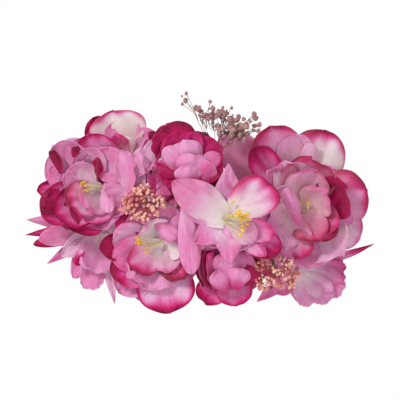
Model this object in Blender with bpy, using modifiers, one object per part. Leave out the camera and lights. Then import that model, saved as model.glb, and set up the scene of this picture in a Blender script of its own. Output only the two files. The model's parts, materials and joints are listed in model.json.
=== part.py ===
"""Flower crown: ten fabric flowers and three dried sprays on a curved, taped band with two hair clips.

Units are metres. +Z is up, the flowers open towards -Y and the wearer's head is on the +Y side.
The origin is the middle of the felt lining's inner face, where the crown meets the head.
Run it with: blender --background --python part.py
"""

from math import asin, atan2, cos, pi, radians, sin
from typing import NamedTuple

import bmesh
import bpy
from mathutils import Matrix, Vector
from mathutils.geometry import interpolate_bezier

# ---- the band, which follows the head --------------------------------------------------------
HEAD_RADIUS = 0.084  # to the felt's inner face
BAND_LENGTH = 0.200  # along that face
BAND_HEIGHT = 0.028
BAND_FACETS = 27  # odd, so that one facet is centred on the front
FELT_THICKNESS = 0.0015
BUCKRAM_THICKNESS = 0.0014
ROD_RADIUS = 0.0011
TAPE_WALL = 0.0008
GAP = 0.0003  # between pieces that touch

# ---- stems and petals ------------------------------------------------------------------------
STEM_RADIUS = 0.0014
STEM_POINTS = 12
STEM_ROOT_HEIGHT = 0.0085  # of a stem's foot above or below the rod
LEFT_LILY_DROP = 0.0292  # of the low left lily's base below the stems in front of it
RIGHT_LILY_DROP = 0.0372
CALYX_RADIUS = 0.0042
CALYX_LENGTH = 0.007
PETAL_THICKNESS = 0.0008
LAYER_STEP = 0.0022  # from one layer's middle to the next, along the flower's axis
SEGMENTS_PER_PETAL = 4
PETAL_RINGS = 3
STAMEN_ROOT_RADIUS = 0.0016
STAMEN_TIP_RADIUS = 0.0045

# ---- hair clips ------------------------------------------------------------------------------
CLIP_SPACING = 0.086  # between the two clips, along the felt's inner face
CLIP_WIDTH = 0.009
CLIP_PLATE = 0.0007
CLIP_JAW = 0.030  # from the pin to the tip
CLIP_TAIL = 0.015  # from the pin to the finger end
CLIP_BEND = 0.0025  # from the pin to where a tail bends away
CLIP_KNEE = 0.005  # from the pin to where the moving jaw slopes down to its tip
CLIP_TAIL_ANGLE = radians(24)
TEETH = 5
TOOTH_PITCH = 0.0022
TOOTH_DEPTH = 0.0006
PIN_ABOVE_BAND = 0.004
PIN_RADIUS = 0.0009
PIN_CLEARANCE = 0.0001  # a running fit
PIN_HEAD = 0.0006  # how far the pin's heads stand out all round, and their thickness
EAR_RADIUS = 0.0022
SPRING_WIRE_RADIUS = 0.00032
SPRING_TURNS = 3
SPRING_STEPS = 10  # points in one turn
ROUND_SIDES = 16


class Layer(NamedTuple):
    """One die-cut layer of petals, moulded into a bowl."""

    name: str
    petals: int
    radius: float  # from the axis to a petal's tip
    depth: float  # from the middle to the rim, along the axis
    notch: float  # how far the cut between two petals comes in, as a share of the radius
    colour: str


class Flower(NamedTuple):
    """A flower on its own moulded stem."""

    name: str
    along: float  # along the band's outer face, from its middle
    reach: float  # from that face out to the flower's base
    height: float
    turn: float  # degrees that it faces to +X of straight out from the band
    lift: float  # degrees that it faces up
    stamens: float  # length of its stamens, or 0
    layers: tuple


class Spray(NamedTuple):
    """A bunch of small dried flowers on one wired stem."""

    name: str
    along: float
    reach: float
    height: float
    leave: float  # degrees above straight out at which its stem leaves the band
    lift: float
    size: tuple  # across, thick, and long from the stem's end
    colour: str


FLOWERS = (
    Flower("left_peony", -0.0700, 0.036, 0.012, 12, 2, 0.016, (
        Layer("outer_petals", 6, 0.041, 0.013, 0.16, "petal_pink"),
        Layer("middle_petals", 5, 0.030, 0.019, 0.12, "petal_deep_pink"),
        Layer("inner_petals", 4, 0.019, 0.022, 0.10, "petal_pale"),
    )),
    Flower("upper_left_magnolia", -0.0560, 0.006, 0.050, 2, 20, 0, (
        Layer("outer_petals", 5, 0.036, 0.010, 0.22, "petal_pale"),
        Layer("inner_petals", 4, 0.022, 0.014, 0.15, "petal_pink"),
    )),
    Flower("left_lily", -0.0330, 0.014, 0.004, 6, 4, 0, (
        Layer("petals", 6, 0.024, 0.010, 0.45, "petal_pale"),
    )),
    Flower("top_peony", -0.0070, 0.018, 0.040, 2, 20, 0, (
        Layer("outer_petals", 6, 0.030, 0.018, 0.12, "petal_deep_pink"),
        Layer("middle_petals", 5, 0.022, 0.021, 0.12, "petal_pink"),
        Layer("inner_petals", 4, 0.014, 0.022, 0.10, "petal_pink"),
    )),
    Flower("centre_lily", 0.0175, 0.040, -0.012, 0, 16, 0.018, (
        Layer("outer_petals", 3, 0.038, 0.014, 0.40, "petal_pink"),
        Layer("inner_petals", 3, 0.032, 0.018, 0.36, "petal_pale"),
    )),
    Flower("right_magnolia", 0.0720, 0.032, 0.011, -8, 8, 0.009, (
        Layer("outer_petals", 7, 0.051, 0.011, 0.14, "petal_pale"),
        Layer("middle_petals", 5, 0.034, 0.022, 0.12, "petal_pink"),
        Layer("inner_petals", 4, 0.021, 0.026, 0.10, "petal_pale"),
    )),
    Flower("lower_left_peony", -0.0270, 0.024, -0.046, -10, -22, 0.020, (
        Layer("outer_petals", 6, 0.038, 0.014, 0.14, "petal_pink"),
        Layer("middle_petals", 5, 0.029, 0.020, 0.12, "petal_pink"),
        Layer("inner_petals", 4, 0.019, 0.022, 0.10, "petal_pale"),
    )),
    Flower("lower_peony", 0.0215, 0.014, -0.052, -4, -22, 0, (
        Layer("outer_petals", 6, 0.029, 0.018, 0.12, "petal_pink"),
        Layer("middle_petals", 5, 0.022, 0.021, 0.12, "petal_deep_pink"),
        Layer("inner_petals", 4, 0.014, 0.022, 0.10, "petal_pink"),
    )),
    Flower("low_left_lily", -0.0850, 0.005, -(LEFT_LILY_DROP + 2 * STEM_RADIUS), 26, -14, 0, (
        Layer("outer_petals", 6, 0.056, 0.012, 0.45, "petal_pale"),
        Layer("inner_petals", 5, 0.026, 0.016, 0.35, "petal_pink"),
    )),
    Flower("low_right_lily", 0.0850, 0.004, -(RIGHT_LILY_DROP + 2 * STEM_RADIUS), -24, -14, 0, (
        Layer("outer_petals", 6, 0.054, 0.012, 0.45, "petal_pale"),
        Layer("inner_petals", 5, 0.024, 0.016, 0.35, "petal_pale"),
    )),
)

SPRAYS = (
    Spray("gypsophila", 0.0180, 0.001, 0.048, 0, 88, (0.066, 0.014, 0.036), "gypsophila"),
    Spray("left_rice_flower", -0.0330, 0.036, -0.008, -56, 20, (0.024, 0.020, 0.016), "rice_flower"),
    Spray("right_rice_flower", 0.0470, 0.031, -0.044, -20, -10, (0.022, 0.020, 0.014), "rice_flower"),
)

# ---- what follows from the sizes above -------------------------------------------------------
BAND_ANGLE = BAND_LENGTH / HEAD_RADIUS
FELT_OUTSIDE = HEAD_RADIUS + FELT_THICKNESS
BUCKRAM_INSIDE = FELT_OUTSIDE + GAP
BUCKRAM_OUTSIDE = BUCKRAM_INSIDE + BUCKRAM_THICKNESS
TAPE_INSIDE = ROD_RADIUS + GAP
TAPE_OUTSIDE = TAPE_INSIDE + TAPE_WALL
ROD_LINE = BUCKRAM_OUTSIDE + GAP + TAPE_OUTSIDE
ROOT_HEIGHT = max(STEM_ROOT_HEIGHT, TAPE_OUTSIDE + STEM_RADIUS + GAP)
HEAD_CENTRE = Vector((0, HEAD_RADIUS, 0))

CLIP_BACK = HEAD_RADIUS - GAP - CLIP_WIDTH**2 / (8 * HEAD_RADIUS)  # a flat plate in a round band
PIN_HOLE = PIN_RADIUS + PIN_CLEARANCE
EAR = max(EAR_RADIUS, PIN_HOLE + CLIP_PLATE)
SPRING_RADIUS = PIN_RADIUS + GAP + SPRING_WIRE_RADIUS
ROOM_ROUND_PIN = max(EAR, SPRING_RADIUS + SPRING_WIRE_RADIUS) + GAP  # clear of both plates
PIN_LINE = CLIP_PLATE + ROOM_ROUND_PIN  # from the fixed plate's back to the pin's axis
MOVING_PLATE = PIN_LINE + ROOM_ROUND_PIN  # the same, to the moving plate's underside
MOVING_WIDTH = CLIP_WIDTH - 2 * (CLIP_PLATE + GAP)
PIN_Z = BAND_HEIGHT / 2 + PIN_ABOVE_BAND

COLOURS = {
    "petal_pink": (0.80, 0.22, 0.47),
    "petal_deep_pink": (0.52, 0.01, 0.16),
    "petal_pale": (0.82, 0.58, 0.68),
    "stem_green": (0.10, 0.14, 0.05),
    "stamen_yellow": (0.80, 0.55, 0.10),
    "rice_flower": (0.80, 0.42, 0.30),
    "gypsophila": (0.42, 0.20, 0.19),
    "felt": (0.62, 0.10, 0.28),
    "buckram": (0.72, 0.66, 0.56),
    "tape_green": (0.16, 0.22, 0.09),
    "clip_steel": (0.70, 0.70, 0.72),
}
METALS = {"clip_steel"}


def clear_scene():
    """Removes every object, so that the script can run twice."""
    for obj in list(bpy.data.objects):
        bpy.data.objects.remove(obj, do_unlink=True)


def material(name):
    """The plain material of that name."""
    found = bpy.data.materials.get(name)
    if found:
        return found
    made = bpy.data.materials.new(name)
    made.use_nodes = True
    shader = made.node_tree.nodes["Principled BSDF"]
    shader.inputs["Base Color"].default_value = (*COLOURS[name], 1)
    shader.inputs["Roughness"].default_value = 0.3 if name in METALS else 0.8
    shader.inputs["Metallic"].default_value = 1.0 if name in METALS else 0.0
    return made


class Bench:
    """The two collections that hold the crown's pieces and the cutters."""

    def __init__(self):
        self.parts = bpy.data.collections.new("flower_crown")
        self.cutters = bpy.data.collections.new("cutters")
        for made in (self.parts, self.cutters):
            bpy.context.scene.collection.children.link(made)

    def add(self, name, data, finish):
        """A new piece of that data and finish."""
        data.materials.append(material(finish))
        if isinstance(data, bpy.types.Mesh):
            data.shade_smooth()
            data.set_sharp_from_angle(angle=radians(35))
        obj = bpy.data.objects.new(name, data)
        self.parts.objects.link(obj)
        return obj

    def add_cutter(self, name, data):
        """A shape that only cuts others."""
        obj = bpy.data.objects.new(name, data)
        obj.hide_render = True
        obj.display_type = "WIRE"
        self.cutters.objects.link(obj)
        return obj


def mesh_from(shape, name):
    """The bmesh as a mesh, and frees it."""
    mesh = bpy.data.meshes.new(name)
    shape.to_mesh(mesh)
    shape.free()
    return mesh


def solid_copy(obj):
    """Replaces obj, a curve, by a closed mesh object of the same name and place."""
    bpy.context.view_layer.update()
    graph = bpy.context.evaluated_depsgraph_get()
    mesh = bpy.data.meshes.new_from_object(obj.evaluated_get(graph))
    shape = bmesh.new()
    shape.from_mesh(mesh)
    bmesh.ops.remove_doubles(shape, verts=shape.verts, dist=1e-6)
    shape.to_mesh(mesh)
    shape.free()
    name, matrix, holder = obj.name, obj.matrix_world.copy(), obj.users_collection[0]
    bpy.data.objects.remove(obj, do_unlink=True)
    made = bpy.data.objects.new(name, mesh)
    made.matrix_world = matrix
    holder.objects.link(made)
    return made


def combine(obj, other, operation):
    """Joins other to obj, or cuts it from obj, and removes other."""
    modifier = obj.modifiers.new(operation.lower(), "BOOLEAN")
    modifier.operation = operation
    modifier.object = other
    bpy.context.view_layer.update()
    graph = bpy.context.evaluated_depsgraph_get()
    mesh = bpy.data.meshes.new_from_object(obj.evaluated_get(graph))
    obj.modifiers.clear()
    obj.data = mesh
    bpy.data.objects.remove(other, do_unlink=True)


def out_from_band(angle, lift=0.0):
    """The frame at that angle round the head: X to the right, Y up and Z straight out, raised by lift."""
    across = Vector((cos(angle), sin(angle), 0))
    out = Vector((sin(angle) * cos(lift), -cos(angle) * cos(lift), sin(lift)))
    return Matrix((across, out.cross(across), out)).transposed()


def band_point(radius, angle, height=0.0):
    """The point at that radius and angle round the head; angle 0 is the front, and a positive one is to +X."""
    return HEAD_CENTRE + Vector((radius * sin(angle), -radius * cos(angle), height))


# ---- the band --------------------------------------------------------------------------------


def corner_radius(radius):
    """The radius of the corners of a faceted arc whose flats are at radius."""
    return radius / cos(BAND_ANGLE / BAND_FACETS / 2)


def band_strip(bench, name, inside, thickness, finish):
    """A flat strip round the head, swept by a Screw and given its thickness outwards."""
    shape = bmesh.new()
    ends = [shape.verts.new((corner_radius(inside), 0, z)) for z in (BAND_HEIGHT / 2, -BAND_HEIGHT / 2)]
    shape.edges.new(ends)
    strip = bench.add(name, mesh_from(shape, name), finish)
    strip.location = HEAD_CENTRE
    strip.rotation_euler.z = -pi / 2 - BAND_ANGLE / 2
    sweep = strip.modifiers.new("sweep", "SCREW")
    sweep.angle = BAND_ANGLE
    sweep.steps = sweep.render_steps = BAND_FACETS
    sweep.use_merge_vertices = False
    wall = strip.modifiers.new("wall", "SOLIDIFY")
    wall.thickness = thickness
    wall.offset = 1
    wall.use_even_offset = True


def band_arc(name, radius, caps):
    """A tube of that radius along the middle of the band's front."""
    arc = bpy.data.curves.new(name, "CURVE")
    arc.dimensions = "3D"
    arc.bevel_depth = radius
    arc.bevel_resolution = 2
    arc.use_fill_caps = caps
    line = arc.splines.new("POLY")
    line.points.add(BAND_FACETS)
    for i, point in enumerate(line.points):
        angle = BAND_ANGLE * (i / BAND_FACETS - 0.5)
        point.co = (*band_point(corner_radius(ROD_LINE), angle), 1)
    return arc


def make_band(bench):
    """The felt lining, the buckram strip, and the wire rod in its tape."""
    band_strip(bench, "felt_lining", HEAD_RADIUS, FELT_THICKNESS, "felt")
    band_strip(bench, "buckram_strip", BUCKRAM_INSIDE, BUCKRAM_THICKNESS, "buckram")
    bench.add("wire_rod", band_arc("wire_rod", ROD_RADIUS, True), "clip_steel")
    tape = bench.add("rod_tape", band_arc("rod_tape", TAPE_INSIDE, False), "tape_green")
    wall = tape.modifiers.new("wall", "SOLIDIFY")
    wall.thickness = TAPE_WALL
    wall.offset = 1


# ---- flowers and sprays ----------------------------------------------------------------------


def stem(bench, name, angle, leave, frame, base):
    """A wire stem from the buckram to base, which it meets along the frame's axis, swelling to a calyx."""
    side = 1 if base.z >= 0 else -1
    tilt = abs(sin(radians(leave)))
    foot = band_point(corner_radius(BUCKRAM_OUTSIDE) + GAP + STEM_RADIUS * tilt, angle, side * ROOT_HEIGHT)
    out = out_from_band(angle, radians(leave)).col[2]
    axis = frame.col[2]
    pull = (base - foot).length / 2
    points = interpolate_bezier(foot, foot + out * pull, base - axis * pull, base, STEM_POINTS)
    tube = bpy.data.curves.new(name, "CURVE")
    tube.dimensions = "3D"
    tube.bevel_depth = STEM_RADIUS
    tube.bevel_resolution = 2
    tube.use_fill_caps = True
    line = tube.splines.new("POLY")
    line.points.add(STEM_POINTS - 1)
    for point, place in zip(line.points, points):
        near = max(0.0, 1 - (base - place).length / CALYX_LENGTH)
        point.co = (*place, 1)
        point.radius = 1 + near * (CALYX_RADIUS / STEM_RADIUS - 1)
    return bench.add(name, tube, "stem_green")


def petal_layer(bench, flower, layer, centre, frame):
    """A bowl with a lobed rim: the lower half of a sphere, opened out by the layer's own curve."""
    name = f"{flower.name}_{layer.name}"
    shape = bmesh.new()
    bmesh.ops.create_uvsphere(
        shape, u_segments=layer.petals * SEGMENTS_PER_PETAL, v_segments=2 * PETAL_RINGS, radius=1
    )
    upper = [v for v in shape.verts if v.co.z > 1e-4]
    bmesh.ops.delete(shape, geom=upper, context="VERTS")
    for v in shape.verts:
        share = 1 - asin(min(1.0, abs(v.co.z))) / (pi / 2)
        round_axis = atan2(v.co.y, v.co.x)
        lobe = 1 - layer.notch * (1 - abs(cos(layer.petals * round_axis / 2)))
        radius = share * layer.radius * (1 - share * (1 - lobe))
        v.co = (radius * cos(round_axis), radius * sin(round_axis), layer.depth * (radius / layer.radius) ** 2)
    petals = bench.add(name, mesh_from(shape, name), layer.colour)
    petals.matrix_world = Matrix.Translation(centre) @ frame.to_4x4()
    wall = petals.modifiers.new("wall", "SOLIDIFY")
    wall.thickness = PETAL_THICKNESS
    wall.offset = 0


def make_flower(bench, flower):
    """One flower's stem, petal layers and stamens."""
    angle = flower.along / BUCKRAM_OUTSIDE
    frame = out_from_band(angle + radians(flower.turn), radians(flower.lift))
    axis = frame.col[2]
    base = band_point(BUCKRAM_OUTSIDE + flower.reach, angle, flower.height)
    stem(bench, f"{flower.name}_stem", angle, 0, frame, base - axis * (PETAL_THICKNESS + GAP))
    for i, layer in enumerate(flower.layers):
        petal_layer(bench, flower, layer, base + axis * i * LAYER_STEP, frame)
    if flower.stamens:
        shape = bmesh.new()
        bmesh.ops.create_cone(
            shape, cap_ends=True, segments=ROUND_SIDES // 2,
            radius1=STAMEN_ROOT_RADIUS, radius2=STAMEN_TIP_RADIUS, depth=flower.stamens,
        )
        name = f"{flower.name}_stamens"
        stamens = bench.add(name, mesh_from(shape, name), "stamen_yellow")
        foot = len(flower.layers) * LAYER_STEP + flower.stamens / 2
        stamens.matrix_world = Matrix.Translation(base + axis * foot) @ frame.to_4x4()


def make_spray(bench, spray):
    """One spray's stem and the solid that its small flowers fill."""
    angle = spray.along / BUCKRAM_OUTSIDE
    frame = out_from_band(angle, radians(spray.lift))
    base = band_point(BUCKRAM_OUTSIDE + spray.reach, angle, spray.height)
    stem(bench, f"{spray.name}_stem", angle, spray.leave, frame, base)
    across, thick, long = spray.size
    shape = bmesh.new()
    bmesh.ops.create_uvsphere(shape, u_segments=12, v_segments=6, radius=0.5)
    bmesh.ops.scale(shape, vec=(across, thick, long), verts=shape.verts)
    name = f"{spray.name}_heads"
    heads = bench.add(name, mesh_from(shape, name), spray.colour)
    middle = base + frame.col[2] * (long / 2 + GAP)
    heads.matrix_world = Matrix.Translation(middle) @ frame.to_4x4()


# ---- hair clips ------------------------------------------------------------------------------
# A clip's outlines are drawn from the side: X runs up the clip from its pin, Y away from the felt.


def flat_outline(bench, name, points, width, finish="clip_steel"):
    """A closed outline given that width, half to each side, as a mesh object."""
    outline = bpy.data.curves.new(name, "CURVE")
    outline.dimensions = "2D"
    outline.fill_mode = "BOTH"
    outline.extrude = width / 2
    line = outline.splines.new("POLY")
    line.points.add(len(points) - 1)
    line.use_cyclic_u = True
    for point, (x, y) in zip(line.points, points):
        point.co = (x, y, 0, 1)
    return solid_copy(bench.add(name, outline, finish))


def bent_plate(path):
    """The outline of a plate whose underside follows path, a list of points from tip to tail."""
    top = []
    for i, (x, y) in enumerate(path):
        before, after = path[max(i - 1, 0)], path[min(i + 1, len(path) - 1)]
        slope = atan2(after[1] - before[1], after[0] - before[0])
        top.append((x - CLIP_PLATE * sin(slope), y + CLIP_PLATE * cos(slope)))
    return path, top


def ear_outline(foot, tip_sign):
    """A wall from the plate at height foot to round the pin; tip_sign is 1 if it goes up to the pin."""
    steps = ROUND_SIDES // 2
    start = 0 if tip_sign > 0 else pi
    arc = [start + pi * i / steps for i in range(steps + 1)]
    return [(-tip_sign * EAR, foot), (tip_sign * EAR, foot)] + [
        (EAR * cos(a), PIN_LINE + EAR * sin(a)) for a in arc
    ]


def add_ears(bench, plate, foot, tip_sign, spread):
    """Joins the two pierced ears, spread apart, to plate."""
    for side in (-1, 1):
        ear = flat_outline(bench, "ear", ear_outline(foot, tip_sign), CLIP_PLATE)
        ear.location.z = side * spread / 2
        combine(plate, ear, "UNION")
    shape = bmesh.new()
    bmesh.ops.create_cone(
        shape, cap_ends=True, segments=ROUND_SIDES, radius1=PIN_HOLE, radius2=PIN_HOLE, depth=2 * CLIP_WIDTH
    )
    hole = bench.add_cutter("pin_hole", mesh_from(shape, "pin_hole"))
    hole.location.y = PIN_LINE
    combine(plate, hole, "DIFFERENCE")


def fixed_jaw(bench, name):
    """The plate that is glued to the felt, with a tail bent towards the flowers."""
    tail = CLIP_TAIL - CLIP_BEND
    path = [
        (-CLIP_JAW, 0),
        (CLIP_BEND, 0),
        (CLIP_BEND + tail * cos(CLIP_TAIL_ANGLE), -tail * sin(CLIP_TAIL_ANGLE)),
    ]
    under, top = bent_plate(path)
    jaw = flat_outline(bench, name, under + top[::-1], CLIP_WIDTH)
    add_ears(bench, jaw, CLIP_PLATE / 2, 1, CLIP_WIDTH - CLIP_PLATE)
    return jaw


def moving_jaw(bench, name):
    """The toothed plate that swings on the pin, with a tail bent towards the head."""
    tail = CLIP_TAIL - CLIP_BEND
    tip = (-CLIP_JAW, CLIP_PLATE + GAP + TOOTH_DEPTH)
    knee = (-CLIP_KNEE, MOVING_PLATE)
    slope = Vector(knee) - Vector(tip)
    along = slope.normalized()
    down = Vector((along.y, -along.x))
    teeth = []
    for i in range(TEETH):
        root = Vector(tip) + along * TOOTH_PITCH * i
        teeth.append(tuple(root + along * TOOTH_PITCH / 2 + down * TOOTH_DEPTH))
        teeth.append(tuple(root + along * TOOTH_PITCH))
    path = [
        tip,
        knee,
        (CLIP_BEND, MOVING_PLATE),
        (CLIP_BEND + tail * cos(CLIP_TAIL_ANGLE), MOVING_PLATE + tail * sin(CLIP_TAIL_ANGLE)),
    ]
    under, top = bent_plate(path)
    jaw = flat_outline(bench, name, [tip, *teeth, *under[1:], *top[::-1]], MOVING_WIDTH)
    add_ears(bench, jaw, MOVING_PLATE + CLIP_PLATE / 2, -1, MOVING_WIDTH - CLIP_PLATE)
    return jaw


def clip_pin(bench, name):
    """The headed pin, turned about its own axis."""
    half = CLIP_WIDTH / 2 + GAP
    head = PIN_RADIUS + PIN_HEAD
    profile = [
        (0, half + PIN_HEAD), (head, half + PIN_HEAD), (head, half), (PIN_RADIUS, half),
        (PIN_RADIUS, -half), (head, -half), (head, -half - PIN_HEAD), (0, -half - PIN_HEAD),
    ]
    shape = bmesh.new()
    corners = [shape.verts.new((x, 0, z)) for x, z in profile]
    for a, b in zip(corners, corners[1:]):
        shape.edges.new((a, b))
    pin = bench.add(name, mesh_from(shape, name), "clip_steel")
    turn = pin.modifiers.new("turn", "SCREW")
    turn.steps = turn.render_steps = ROUND_SIDES
    turn.merge_threshold = 0.0001
    turn.use_merge_vertices = True
    return pin


def clip_spring(bench, name):
    """A torsion spring round the pin, with a leg along each tail."""
    pitch = 2 * SPRING_WIRE_RADIUS + GAP
    leg = CLIP_TAIL * 0.6
    total = SPRING_TURNS * 2 * pi + pi
    count = int(SPRING_STEPS * total / (2 * pi))
    turns = [-pi / 2 + total * i / count for i in range(count + 1)]
    half_length = pitch * total / (4 * pi)
    coil = [
        Vector((-SPRING_RADIUS * cos(a + pi), PIN_LINE + SPRING_RADIUS * sin(a),
                pitch * (a + pi / 2) / (2 * pi) - half_length))
        for a in turns
    ]
    low, high = coil[0], coil[-1]
    lay = SPRING_WIRE_RADIUS + GAP
    bend_low = Vector((CLIP_BEND, low.y, low.z))
    bend_high = Vector((CLIP_BEND, high.y, high.z))
    reach = Vector((leg * cos(CLIP_TAIL_ANGLE), leg * sin(CLIP_TAIL_ANGLE), 0))
    end_low = Vector((CLIP_BEND, CLIP_PLATE + lay, low.z)) + Vector((reach.x, -reach.y, 0))
    end_high = Vector((CLIP_BEND, MOVING_PLATE - lay, high.z)) + reach
    wire = bpy.data.curves.new(name, "CURVE")
    wire.dimensions = "3D"
    wire.bevel_depth = SPRING_WIRE_RADIUS
    wire.bevel_resolution = 1
    wire.use_fill_caps = True
    path = [end_low, bend_low, *coil, bend_high, end_high]
    line = wire.splines.new("POLY")
    line.points.add(len(path) - 1)
    for point, place in zip(line.points, path):
        point.co = (*place, 1)
    return bench.add(name, wire, "clip_steel")


def make_clip(bench, side, angle):
    """One hair clip on the felt. Its moving jaw's origin is on the pin's axis."""
    up, inward = Vector((0, 0, 1)), Vector((-sin(angle), cos(angle), 0))
    frame = Matrix((up, inward, up.cross(inward))).transposed().to_4x4()
    seat = Matrix.Translation(band_point(CLIP_BACK, angle, PIN_Z)) @ frame
    to_pin = Matrix.Translation((0, PIN_LINE, 0))
    fixed_jaw(bench, f"{side}_clip_fixed_jaw").matrix_world = seat
    moving = moving_jaw(bench, f"{side}_clip_moving_jaw")
    moving.data.transform(to_pin.inverted())
    moving.matrix_world = seat @ to_pin
    clip_pin(bench, f"{side}_clip_pin").matrix_world = seat @ to_pin
    clip_spring(bench, f"{side}_clip_spring").matrix_world = seat


def main():
    """Builds the whole crown."""
    clear_scene()
    bench = Bench()
    make_band(bench)
    for flower in FLOWERS:
        make_flower(bench, flower)
    for spray in SPRAYS:
        make_spray(bench, spray)
    clip_angle = CLIP_SPACING / 2 / HEAD_RADIUS
    make_clip(bench, "left", -clip_angle)
    make_clip(bench, "right", clip_angle)


main()
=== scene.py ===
"""The looks of a flower crown: fabric peonies, magnolias and lilies with dried sprays on a felt-lined band.

Everything is in metres in the shared frame, with +Z up, the flowers opening towards -Y and the head on
the +Y side. Sizes in the tables are millimetres, in a maker's terms: right, up, and out towards the viewer.
"""

from __future__ import annotations

import json
import logging
from dataclasses import Field, dataclass, field
from enum import Enum
from math import cos, pi, radians, sin, tau

import bmesh
import bpy
import numpy as np
from mathutils import Matrix, Vector


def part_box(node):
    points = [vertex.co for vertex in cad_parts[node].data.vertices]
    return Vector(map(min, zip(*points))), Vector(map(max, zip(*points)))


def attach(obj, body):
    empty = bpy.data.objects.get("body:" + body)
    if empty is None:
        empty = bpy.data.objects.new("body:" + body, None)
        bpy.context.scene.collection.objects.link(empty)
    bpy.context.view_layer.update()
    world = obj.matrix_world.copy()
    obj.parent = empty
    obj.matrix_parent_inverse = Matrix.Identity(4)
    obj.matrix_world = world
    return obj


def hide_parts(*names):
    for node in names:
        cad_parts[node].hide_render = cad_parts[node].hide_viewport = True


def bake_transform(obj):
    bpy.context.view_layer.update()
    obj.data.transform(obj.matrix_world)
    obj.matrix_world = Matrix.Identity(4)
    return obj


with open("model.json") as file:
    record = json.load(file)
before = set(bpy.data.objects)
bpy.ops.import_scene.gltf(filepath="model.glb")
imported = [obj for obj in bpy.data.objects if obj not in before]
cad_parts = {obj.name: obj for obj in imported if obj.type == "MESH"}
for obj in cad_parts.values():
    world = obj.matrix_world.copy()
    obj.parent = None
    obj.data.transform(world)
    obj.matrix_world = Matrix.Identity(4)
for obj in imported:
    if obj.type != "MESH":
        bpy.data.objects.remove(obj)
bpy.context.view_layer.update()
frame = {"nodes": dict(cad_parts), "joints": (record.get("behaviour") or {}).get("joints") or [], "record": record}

MM = 0.001
HEAD_RADIUS = 0.084  # of the band's inner face, about an axis that far behind the middle
ROD_RADIUS = 0.0892  # of the wire rod's bend
ROD_OFFSET = 0.0088  # of a stem's foot above or below the rod
PETAL_SHEET = 0.3  # mm
SEPAL_SHEET = 0.5  # mm
TAPE_STEP = 0.0003  # where one turn of tape laps over the last
STEM_KNOTS = 24  # points along a stem
LOG = logging.getLogger("flower_crown")


def place(right: float, up: float, out: float) -> np.ndarray:
    """A point in metres from millimetres right, up and out towards the viewer."""
    return np.array((right, -out, up)) * MM


def linear(red: int, green: int, blue: int) -> tuple[float, float, float, float]:
    """A colour as shaders take it, from its usual 0 to 255 values."""
    parts = [c / 255 for c in (red, green, blue)]
    return (*[c / 12.92 if c <= 0.04045 else ((c + 0.055) / 1.055) ** 2.4 for c in parts], 1.0)


# ---- node trees ------------------------------------------------------------------------------


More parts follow.
